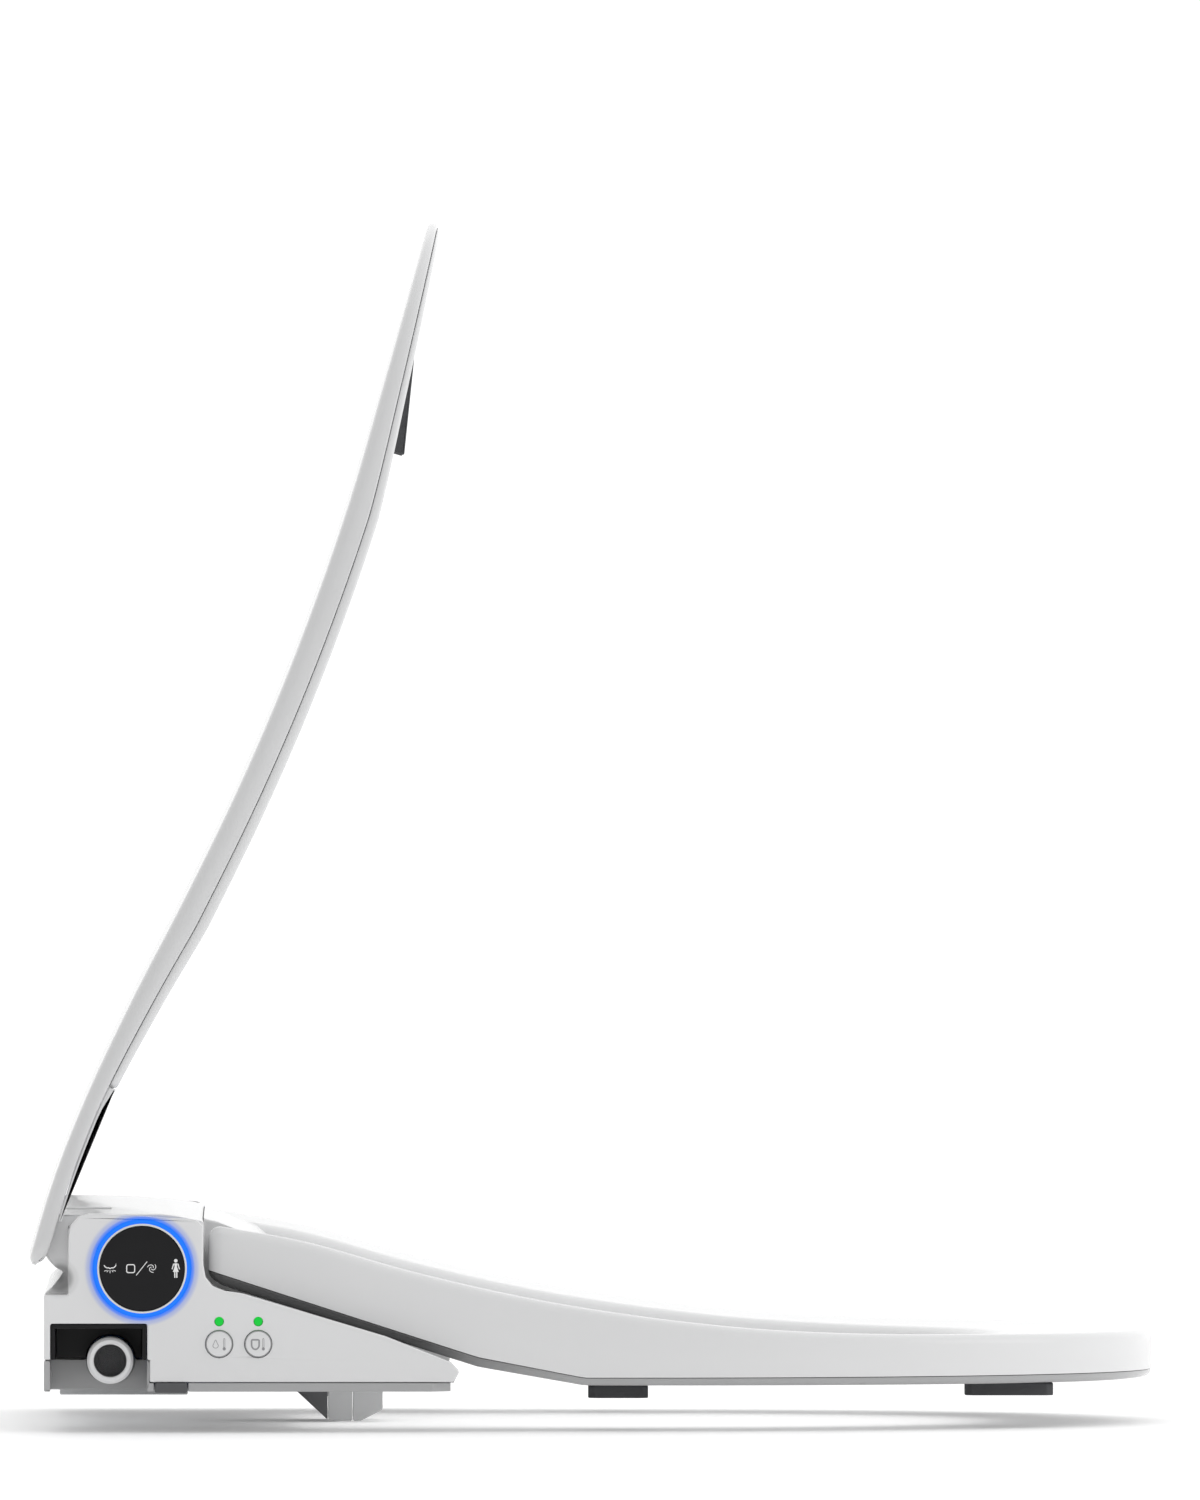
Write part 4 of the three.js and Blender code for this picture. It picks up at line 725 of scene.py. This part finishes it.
def top_section(width, shrink):
    """Outer wall up from the seam, a quarter round on the outer edge, a gently dished top, a
    wider round to the opening and its wall down to the seam."""
    a = np.linspace(0, np.pi / 2, 6)
    outer_in = SEAT_OUTER_EDGE * (1 - np.cos(a))
    outer_down = SEAT_OUTER_EDGE * (1 - np.sin(a))
    inner_in = SEAT_INNER_EDGE * (1 - np.cos(a))[::-1]
    inner_down = SEAT_INNER_EDGE * (1 - np.sin(a))[::-1]
    flat = np.linspace(0.12, 0.88, 9)
    first = SEAT_OUTER_EDGE / width[:, None]
    last = 1 - SEAT_INNER_EDGE / width[:, None]
    rows = len(width)
    share = np.concatenate([
        np.zeros((rows, 2)),
        outer_in[None] / width[:, None],
        first * (1 - flat) + flat * last,
        1 - inner_in[None] / width[:, None],
        np.ones((rows, 2)),
    ], 1)
    low = shrink[:, None] / width[:, None]
    share = low + share * (1 - 2 * low)
    drop = np.concatenate([[0, 0], outer_down, np.zeros(9), inner_down, [0, 0]])
    wall = np.zeros(len(drop))
    wall[[0, -1]] = 1
    half_wall = np.zeros(len(drop))
    half_wall[[1, -2]] = 1

    def height(forward):
        seam = level(SEAT_SEAM, forward) + GAP / 2
        dish = SEAT_DISH * eased(share, 0.1, 0.8)
        crest = curve_height(SEAT_TOP, forward) - drop[None] - shrink[:, None] - dish
        middle = seam + 0.35 * np.maximum(crest - seam, 1)
        fitted = np.maximum(crest, seam + 1)
        return np.where(wall[None] == 1, seam, np.where(half_wall[None] == 1, middle, fitted))

    return share, height


def base_section(width, shrink):
    """Shallow lower shell: level at the seam, then a round of the shell's own depth to a flat
    underside, on both edges."""
    a = np.linspace(0, np.pi / 2, 6)
    rows = len(width)
    side = SEAT_UNDER_EDGE * (1 - np.cos(a))[None] + 0.5
    share = np.concatenate([
        np.full((rows, 1), 0.5) / width[:, None],
        side / width[:, None],
        np.broadcast_to([0.3, 0.7], (rows, 2)),
        1 - side[:, ::-1] / width[:, None],
        1 - np.full((rows, 1), 0.5) / width[:, None],
    ], 1)
    low = shrink[:, None] / width[:, None]
    share = low + share * (1 - 2 * low)
    round_fall = 0.12 + 0.88 * np.sin(a)
    fall = np.concatenate([[0], round_fall, [1, 1], round_fall[::-1], [0]])

    def height(forward):
        seam = level(SEAT_SEAM, forward) - GAP / 2
        bottom = level(SEAT_UNDER, forward) + shrink[:, None] * 0.5
        return seam + (np.minimum(bottom, seam - 0.4) - seam) * fall[None]

    return share, height


stacked("seat_ring", seat_section(top_section), "seat", "white_gloss", ["seat_top"], crease=45)
# Painted shade: the seat's underside is a darker copy of the white gloss plastic, and gets darker
# still the higher it is.
under_seat_painted_shade = finish(
    "white gloss under the seat", (0.40, 0.402, 0.406), 0.2, 0.3, 700, 0.012, mottle=0.01
)
shaded_by_height(under_seat_painted_shade, [(8, 1.0), (26, 0.16)])
stacked(
    "seat_under_shell", seat_section(base_section), "seat", "white_gloss", ["seat_base"], 45,
    under_seat_painted_shade,
)
for end in ("rear", "front"):
    for side in ("left", "right"):
        softened(f"{end}_seat_bumper_{side}", 0.7, 3)

# ------------------------------------------------------------------ unit

cover = softened("top_cover", 0.9, 3, shortest=2.6)
EDGE_RADIUS = {
    "base_tray": 0.7, "inlet_bay": 0.6, "mounting_plate": 0.6, "nozzle_trough": 0.5,
    "nozzle_guard": 0.8, "guard_shield": 0.8, "release_button": 0.6, "power_gland": 0.5,
    "rear_wand": 0.3, "rear_nozzle_tip": 0.2, "front_wand": 0.3, "front_nozzle_tip": 0.2,
    "nozzle_guide": 0.5,
}
for node, radius in EDGE_RADIUS.items():
    softened(node, radius)

# ------------------------------------------------------------------ side controls

face_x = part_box("top_cover")[0].x / MM
KNOB = axis_of("knob_rim")
KNOB_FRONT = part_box("knob_rim")[0].x / MM
KNOB_RADIUS = radius_of("knob_rim")
FACE_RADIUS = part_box("knob_face")[1].z / MM - KNOB[1]
KNOB_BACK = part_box("knob_face")[1].x / MM

rim_profile = [
    (KNOB_FRONT, FACE_RADIUS + 0.25), (KNOB_FRONT, KNOB_RADIUS - 0.35),
    (KNOB_FRONT + 0.12, KNOB_RADIUS - 0.1), (KNOB_FRONT + 0.4, KNOB_RADIUS),
    (KNOB_BACK + 1.6, KNOB_RADIUS), (KNOB_BACK + 1.6, 7), (KNOB_BACK + 5.5, 7),
    (KNOB_BACK + 5.5, 4.4), (KNOB_BACK + 0.4, 4.4), (KNOB_BACK + 0.4, FACE_RADIUS + 0.1),
    (KNOB_FRONT + 0.3, FACE_RADIUS + 0.1),
]
turned("knob_bezel", KNOB, rim_profile, "knob", "white_gloss", ["knob_rim"], 128)
dome = KNOB_FRONT + 0.35
face_profile = [(dome - 0.02, 0)]
face_profile += [(dome, FACE_RADIUS * s) for s in (0.3, 0.6, 0.9)]
face_profile += [
    (dome + 0.05, FACE_RADIUS - 0.35), (dome + 0.3, FACE_RADIUS - 0.05), (dome + 0.6, FACE_RADIUS),
    (KNOB_BACK, FACE_RADIUS), (KNOB_BACK, 0),
]
turned("knob_glass", KNOB, face_profile, "knob", "black_gloss", ["knob_face"], 128)

ring_low, ring_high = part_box("light_ring")
RING_RADIUS = radius_of("light_ring")
ring_in = KNOB_RADIUS + 0.3
ring_profile = [
    (ring_low.x / MM, ring_in + 0.15), (ring_low.x / MM, RING_RADIUS - 0.15),
    (ring_low.x / MM + 0.15, RING_RADIUS), (ring_high.x / MM, RING_RADIUS),
    (ring_high.x / MM, ring_in), (ring_low.x / MM + 0.15, ring_in),
]
turned("light_guide_ring", KNOB, ring_profile, "unit", "blue_light", ["light_ring"], 128)
# Each list below gives (metres from the knob's axis or the recess, share).
RING_BLUE = (0.012, 0.2, 1.0)
RING_LIT = [(0.0195, 1.0), (0.0212, 1.0), (0.0220, 0.9)]
# Painted light: the next two lists lay the ring's blue glow and blue colour onto the cover round
# it. The last list is painted shade in the step behind the knob.
HALO_PAINTED_GLOW = [(0.0212, 1.0), (0.0228, 0.8), (0.0242, 0.25), (0.0264, 0.0)]
HALO_PAINTED_BLUE = [(0.0212, 0.97), (0.0228, 0.85), (0.0242, 0.35), (0.0264, 0.0)]
RECESS = (-27.5, 55)  # forward and height of the step behind the knob
RECESS_SHADE = [(0.0, 0.8), (0.0045, 0.6), (0.0075, 0.12), (0.0095, 0.0)]

blue = FINISH["blue_light"]
glow(blue, distance_from(blue, 0, *KNOB, flat=True), RING_LIT, RING_BLUE, 0.97)

# The cover's own copy of the white gloss carries painted light round the ring and painted shade in
# the step behind the knob.
cover_painted_light = FINISH["white_gloss"].copy()
cover_painted_light.name = "white gloss cover lit by the ring"
cover.data.materials[0] = cover_painted_light
from_knob = distance_from(cover_painted_light, face_x, *KNOB)
from_recess = distance_from(cover_painted_light, 0, *RECESS, flat=True)
glow(cover_painted_light, from_knob, HALO_PAINTED_GLOW, RING_BLUE, 0.8)
tinted(cover_painted_light, from_recess, RECESS_SHADE, (0.07, 0.07, 0.072))
tinted(cover_painted_light, from_knob, HALO_PAINTED_BLUE, (0.004, 0.03, 0.2))


def stroke(points, width, front, thick, closed=False):
    """A flat printed line: a rectangle width by thick carried along points of (forward, height)
    on the plane x = front. Returns points and faces."""
    line = np.asarray(points, float)
    if closed:
        along = np.roll(line, -1, 0) - np.roll(line, 1, 0)
    else:
        along = np.gradient(line, axis=0)
    along /= np.linalg.norm(along, axis=1, keepdims=True)
    normal = np.stack([-along[:, 1], along[:, 0]], 1) * width / 2
    corners = [
        (front, line + normal), (front, line - normal),
        (front + thick, line - normal), (front + thick, line + normal),
    ]
    rows = np.stack([place(np.full(len(line), x), p[:, 0], p[:, 1]) for x, p in corners], 1)
    faces = [list(f) for f in grid_faces(len(line), 4, True, round_rows=closed)]
    if not closed:
        faces += [[0, 1, 2, 3], [len(line) * 4 - 4 + k for k in (3, 2, 1, 0)]]
    return rows.reshape(-1, 3), faces


def patch(points, front, thick):
    """A flat printed shape: an outline of (forward, height) given a thickness."""
    loop = np.asarray(points, float)
    rows = np.stack([
        place(np.full(len(loop), x), loop[:, 0], loop[:, 1]) for x in (front, front + thick)
    ])
    faces = [list(f) for f in grid_faces(2, len(loop), True)]
    faces += [list(range(len(loop))), list(range(len(loop), 2 * len(loop)))[::-1]]
    return rows.reshape(-1, 3), faces


def ring_points(centre, radius, start=0, stop=360, count=24):
    """Points on a circle, or on an ellipse where the radius is a pair."""
    a = np.radians(np.linspace(start, stop, count, endpoint=stop - start < 360))
    across, up = np.broadcast_to(radius, 2)
    return np.stack([centre[0] + across * np.cos(a), centre[1] + up * np.sin(a)], 1)


def printed(name, shapes, body, slot, material=None):
    """Joins the lines and shapes of one printed sign into a piece."""
    points, faces, count = [], [], 0
    for p, f in shapes:
        points.append(p)
        faces += [[i + count for i in face] for face in f]
        count += len(p)
    return make_piece(name, np.vstack(points), faces, body, slot, crease=20, material=material)


def about(points, centre):
    """Points of a sign, drawn round (0, 0), moved to its centre."""
    return np.asarray(points, float) + centre


INK = dome - 0.06  # outer face of the printing on the knob
THICK = 0.1
KEY_THICK = 0.2
KEY_RADIUS = 6.0
KEY_FLANGE = 1.4
KEY_BELOW_LENS = 10.1


def spray_sign(at):
    """A bowl of two curves with five short jets below it."""
    bowl = [(-2.8, 1.7), (-2.5, 0.5), (-1.5, -0.3), (-0.5, -0.2), (0, -0.7), (0.5, -0.2),
            (1.5, -0.3), (2.5, 0.5), (2.8, 1.7)]
    lines = [stroke(about(rounded(bowl, 0.5, 4, False), at), 0.42, INK, THICK)]
    for lean in (-2.6, -1.4, 0, 1.4, 2.6):
        jet = [(lean * 0.55, -1.3), (lean, -2.6 + abs(lean) * 0.34)]
        lines.append(stroke(about(jet, at), 0.28, INK, THICK))
    return lines


def stop_fan_sign(at):
    """A rounded square outline, a slash, and a fan whose three blades follow r = 0.4 + 1.7 t."""
    square = rounded([(-6.8, -1.8), (-3.2, -1.8), (-3.2, 1.8), (-6.8, 1.8)], 0.9, 5)
    lines = [stroke(about(square, at), 0.45, INK, THICK, closed=True)]
    lines.append(stroke(about([(-2.5, -3.0), (2.4, 3.2)], at), 0.34, INK, THICK))
    t = np.linspace(0, 1, 16)
    for third in range(3):
        turn = np.radians(120 * third + 170 * t)
        reach = 0.4 + 1.7 * t
        blade = np.stack([4.6 + reach * np.cos(turn), 0.3 + reach * np.sin(turn)], 1)
        lines.append(stroke(about(blade, at), 0.3, INK, THICK))
    return lines


def figure_sign(at):
    """A standing figure in a dress: a disc for the head, a flared body, two arms, two legs."""
    dress = [(-0.75, 2.2), (0.75, 2.2), (0.5, 0.7), (1.35, -1.7), (-1.35, -1.7), (-0.5, 0.7)]
    shapes = [
        patch(about(ring_points((0, 3.35), 0.8), at), INK, THICK),
        patch(about(rounded(dress, 0.2, 2), at), INK, THICK),
    ]
    for side in (-1, 1):
        arm = [(side * 0.95, 2.05), (side * 1.65, -0.5)]
        leg = [(side * 0.45, -1.65), (side * 0.45, -4.3)]
        shapes.append(stroke(about(arm, at), 0.45, INK, THICK))
        shapes.append(stroke(about(leg, at), 0.55, INK, THICK))
    return shapes


ink_white = finish("white printing", (0.85, 0.85, 0.85), 0.4, 0, 1500, 0.05)
ink_grey = finish("grey printing", (0.30, 0.30, 0.31), 0.5, 0, 1500, 0.05)
printed("knob_signs", [
    *spray_sign((KNOB[0] - 14.4, KNOB[1] + 0.6)), *stop_fan_sign((KNOB[0] - 0.1, KNOB[1])),
    *figure_sign((KNOB[0] + 15.2, KNOB[1] + 0.2)),
], "knob", "white_gloss", ink_white)


def button(use, sign):
    """Round key with a softly domed face, a dark outline, its sign, and its light above."""
    low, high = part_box(f"{use}_heat_button")
    light = axis_of(f"{use}_heat_led")
    centre = (axis_of(f"{use}_heat_button")[0], light[1] - KEY_BELOW_LENS)
    front, back = low.x / MM, high.x / MM
    crown = front + 0.02
    key = [(crown, 0)]
    key += [(crown + 0.1 * s**4, KEY_RADIUS * s * 0.92) for s in (0.35, 0.6, 0.8, 0.95)]
    key += [
        (front + 0.25, KEY_RADIUS * 0.96), (front + 0.55, KEY_RADIUS - 0.03),
        (front + 1.0, KEY_RADIUS), (back - 3, KEY_RADIUS), (back - 3, KEY_RADIUS + KEY_FLANGE),
        (back - 1, KEY_RADIUS + KEY_FLANGE), (back - 1, KEY_RADIUS), (back, KEY_RADIUS), (back, 0),
    ]
    body = f"{use}_button"
    turned(f"{use}_heat_key", centre, key, body, "white_gloss", [f"{use}_heat_button"], 72)
    outline = ring_points(centre, KEY_RADIUS * 0.955, count=72)
    printed(f"{use}_heat_sign", [
        stroke(outline, 0.32, front + 0.12, KEY_THICK, closed=True), *sign(centre, front - 0.03),
    ], body, "dark_grey_plastic", ink_grey)
    lens_low, lens_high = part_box(f"{use}_heat_led")
    r = radius_of(f"{use}_heat_led")
    lens_front, lens_back = lens_low.x / MM, lens_high.x / MM
    lens = [
        (lens_front, 0), (lens_front + 0.05, r * 0.5), (lens_front + 0.18, r * 0.85),
        (lens_front + 0.35, r), (lens_back, r), (lens_back, 0),
    ]
    turned(f"{use}_heat_lens", light, lens, "unit", "green_light", [f"{use}_heat_led"], 48)
    return light


def thermometer(centre, front):
    """A filled bulb with a narrow tube above it."""
    tube = rounded([(2.0, -1.7), (2.0, 2.2), (2.3, 2.7), (2.6, 2.2), (2.6, -1.7)], 0.3, 3)
    return [
        patch(about(ring_points((2.3, -2.2), 0.7), centre), front, KEY_THICK),
        stroke(about(tube, centre), 0.22, front, KEY_THICK, closed=True),
    ]


def drop_sign(centre, front):
    """A drop, a circle drawn up to a point by 1.2 sin^3 a, beside a thermometer."""
    a = np.radians(np.linspace(0, 360, 25)[:-1])
    upper = np.clip(np.sin(a), 0, 1)
    x = -1.6 + 1.25 * np.cos(a) * (1 - 0.45 * upper)
    z = -0.6 + 1.25 * np.sin(a) + upper**3 * 1.2
    drop = about(np.stack([x, z], 1), centre)
    return [stroke(drop, 0.26, front, KEY_THICK, closed=True), *thermometer(centre, front)]


def seat_sign(centre, front):
    """A seat seen from above: a thick ring with a flat rear, beside a thermometer."""
    ring = ring_points((-1.3, -0.4), (1.7, 2.0), 180, 360, 16)
    ring = np.vstack([ring, [(0.4, 1.9), (-3.0, 1.9)]])
    ring = about(rounded(ring, 0.5, 3), centre)
    return [stroke(ring, 0.75, front, KEY_THICK, closed=True), *thermometer(centre, front)]


lights = [button("water", drop_sign), button("seat", seat_sign)]
green = FINISH["green_light"]
LENS_GREEN = (0.006, 0.55, 0.042)
LENS_LIT = [(0, 1.0), (1.0, 0.95)]  # metres from the first lens's axis, share
glow(green, distance_from(green, 0, *lights[0], flat=True), LENS_LIT, LENS_GREEN, 1.0)

# ------------------------------------------------------------------ water inlet

inlet_low, inlet_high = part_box("water_inlet")
INLET = axis_of("inlet_filter")
INLET_START, INLET_END = inlet_low.x / MM, inlet_high.x / MM
INLET_RADIUS = 10.48
INLET_BORE = 7.4
THREAD_PITCH = 1.81
THREAD_TURNS = 9
SHOULDER = INLET_START + 35.0
ELBOW_HALF = 11

spout = [
    (INLET_START, INLET_BORE + 0.5), (INLET_START, INLET_RADIUS - 1.2),
    (INLET_START + 0.9, INLET_RADIUS - 0.3),
]
for turn_at in range(THREAD_TURNS):
    start = INLET_START + 1.4 + turn_at * THREAD_PITCH
    spout += [
        (start, INLET_RADIUS - 0.9), (start + 0.5, INLET_RADIUS - 0.05),
        (start + 0.8, INLET_RADIUS - 0.05), (start + 1.3, INLET_RADIUS - 0.9),
    ]
spout += [
    (INLET_START + 19, INLET_RADIUS - 0.9), (INLET_START + 19.4, INLET_RADIUS),
    (SHOULDER + 5.5, INLET_RADIUS), (SHOULDER + 5.5, INLET_BORE), (INLET_START + 0.5, INLET_BORE),
]
turned("inlet_spout", INLET, spout, "unit", "white_gloss", ["water_inlet"], 96)
elbow = rounded([
    (INLET[0] - ELBOW_HALF, inlet_low.z / MM), (INLET[0] + ELBOW_HALF, inlet_low.z / MM),
    (INLET[0] + ELBOW_HALF, inlet_high.z / MM), (INLET[0] - ELBOW_HALF, inlet_high.z / MM),
], 3, 4)
slab("inlet_elbow", elbow, SHOULDER + 5.0, INLET_END, 1.2, "unit", "white_gloss")
sieve_low, sieve_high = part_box("inlet_filter")
sieve_r = radius_of("inlet_filter")
start = sieve_low.x / MM
sieve = [(start, 0)]
for r in np.linspace(0.6, sieve_r - 0.8, 9):
    sieve += [(start, r), (start + 0.35, r + 0.15), (start + 0.35, r + 0.35), (start, r + 0.5)]
sieve += [(start, sieve_r), (sieve_high.x / MM, sieve_r), (sieve_high.x / MM, 0)]
turned("inlet_sieve", INLET, sieve, "unit", "dark_grey_plastic", ["inlet_filter"], 72)

# ------------------------------------------------------------------ camera, floor and light

CAMERA_AZIMUTH = np.radians(269.4)
CAMERA_RISE = np.radians(0.4)
CAMERA_DISTANCE = 14.0
FRAME_HEIGHT = 0.675
SENSOR = 36
FLOOR_HALF = 9.0
FLOOR_GLOW = 0.16
aim = Vector((-0.200, -0.2158, 0.2929))

camera_data = bpy.data.cameras.new("camera")
camera_data.sensor_width = SENSOR
camera_data.lens = SENSOR * CAMERA_DISTANCE / FRAME_HEIGHT
camera_data.clip_end = 100
camera = bpy.data.objects.new("camera", camera_data)
bpy.context.scene.collection.objects.link(camera)
back = Vector((
    np.sin(CAMERA_AZIMUTH) * np.cos(CAMERA_RISE), -np.cos(CAMERA_AZIMUTH) * np.cos(CAMERA_RISE),
    np.sin(CAMERA_RISE),
))
camera.location = aim + back * CAMERA_DISTANCE
camera.rotation_euler = (-back).to_track_quat("-Z", "Y").to_euler()
bpy.context.scene.camera = camera

floor_z = cad_low.z - 0.0004
grid_x, grid_y = np.meshgrid([-FLOOR_HALF, FLOOR_HALF], [-FLOOR_HALF, 7.0, FLOOR_HALF])
floor_points = np.stack([grid_x, grid_y, np.full_like(grid_x, floor_z)], -1).reshape(-1, 3)
floor_mesh = bpy.data.meshes.new("floor")
floor_mesh.from_pydata(floor_points.tolist(), [], grid_faces(3, 2, False).tolist())
floor = bpy.data.objects.new("floor", floor_mesh)
bpy.context.scene.collection.objects.link(floor)
pale = finish("pale floor", (0.93, 0.93, 0.93), 0.6, 0, 60, 0.02, mottle=0.004)
parts_of(pale)[2].inputs["Emission Color"].default_value = (1, 1, 1, 1)
parts_of(pale)[2].inputs["Emission Strength"].default_value = FLOOR_GLOW
floor_mesh.materials.append(pale)
floor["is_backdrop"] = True


def area_light(name, location, target, size, power):
    """A soft rectangular lamp that faces its target."""
    data = bpy.data.lights.new(name, "AREA")
    data.shape = "RECTANGLE"
    data.size, data.size_y = size
    data.energy = power
    lamp = bpy.data.objects.new(name, data)
    bpy.context.scene.collection.objects.link(lamp)
    lamp.location = location
    lamp.rotation_euler = (Vector(target) - Vector(location)).to_track_quat("-Z", "Y").to_euler()


world = bpy.data.worlds.new("studio")
bpy.context.scene.world = world
world.use_nodes = True
sky, sky_links = world.node_tree.nodes, world.node_tree.links
toward = sky.new("ShaderNodeTexCoord")
lean = sky.new("ShaderNodeVectorMath")
lean.operation = "DOT_PRODUCT"
lean.inputs[1].default_value = (0.80, -0.50, 0.12)
sky_links.new(toward.outputs["Generated"], lean.inputs[0])
shade = sky.new("ShaderNodeMapRange")
shade.inputs["From Min"].default_value = -0.8
shade.inputs["From Max"].default_value = 0.5
shade.inputs["To Min"].default_value = 0.56
shade.inputs["To Max"].default_value = 1.2
sky_links.new(lean.outputs["Value"], shade.inputs["Value"])
sky_links.new(shade.outputs["Result"], sky["Background"].inputs["Strength"])
sky["Background"].inputs["Color"].default_value = (1, 1, 1, 1)

area_light("front key", (-0.9, -2.4, 1.1), (0, -0.3, 0.1), (1.6, 1.2), 4)
area_light("overhead", (0.3, -0.2, 2.6), (0, -0.2, 0), (2.4, 2.4), 3)
bpy.context.scene.view_settings.view_transform = "Standard"

low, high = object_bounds()
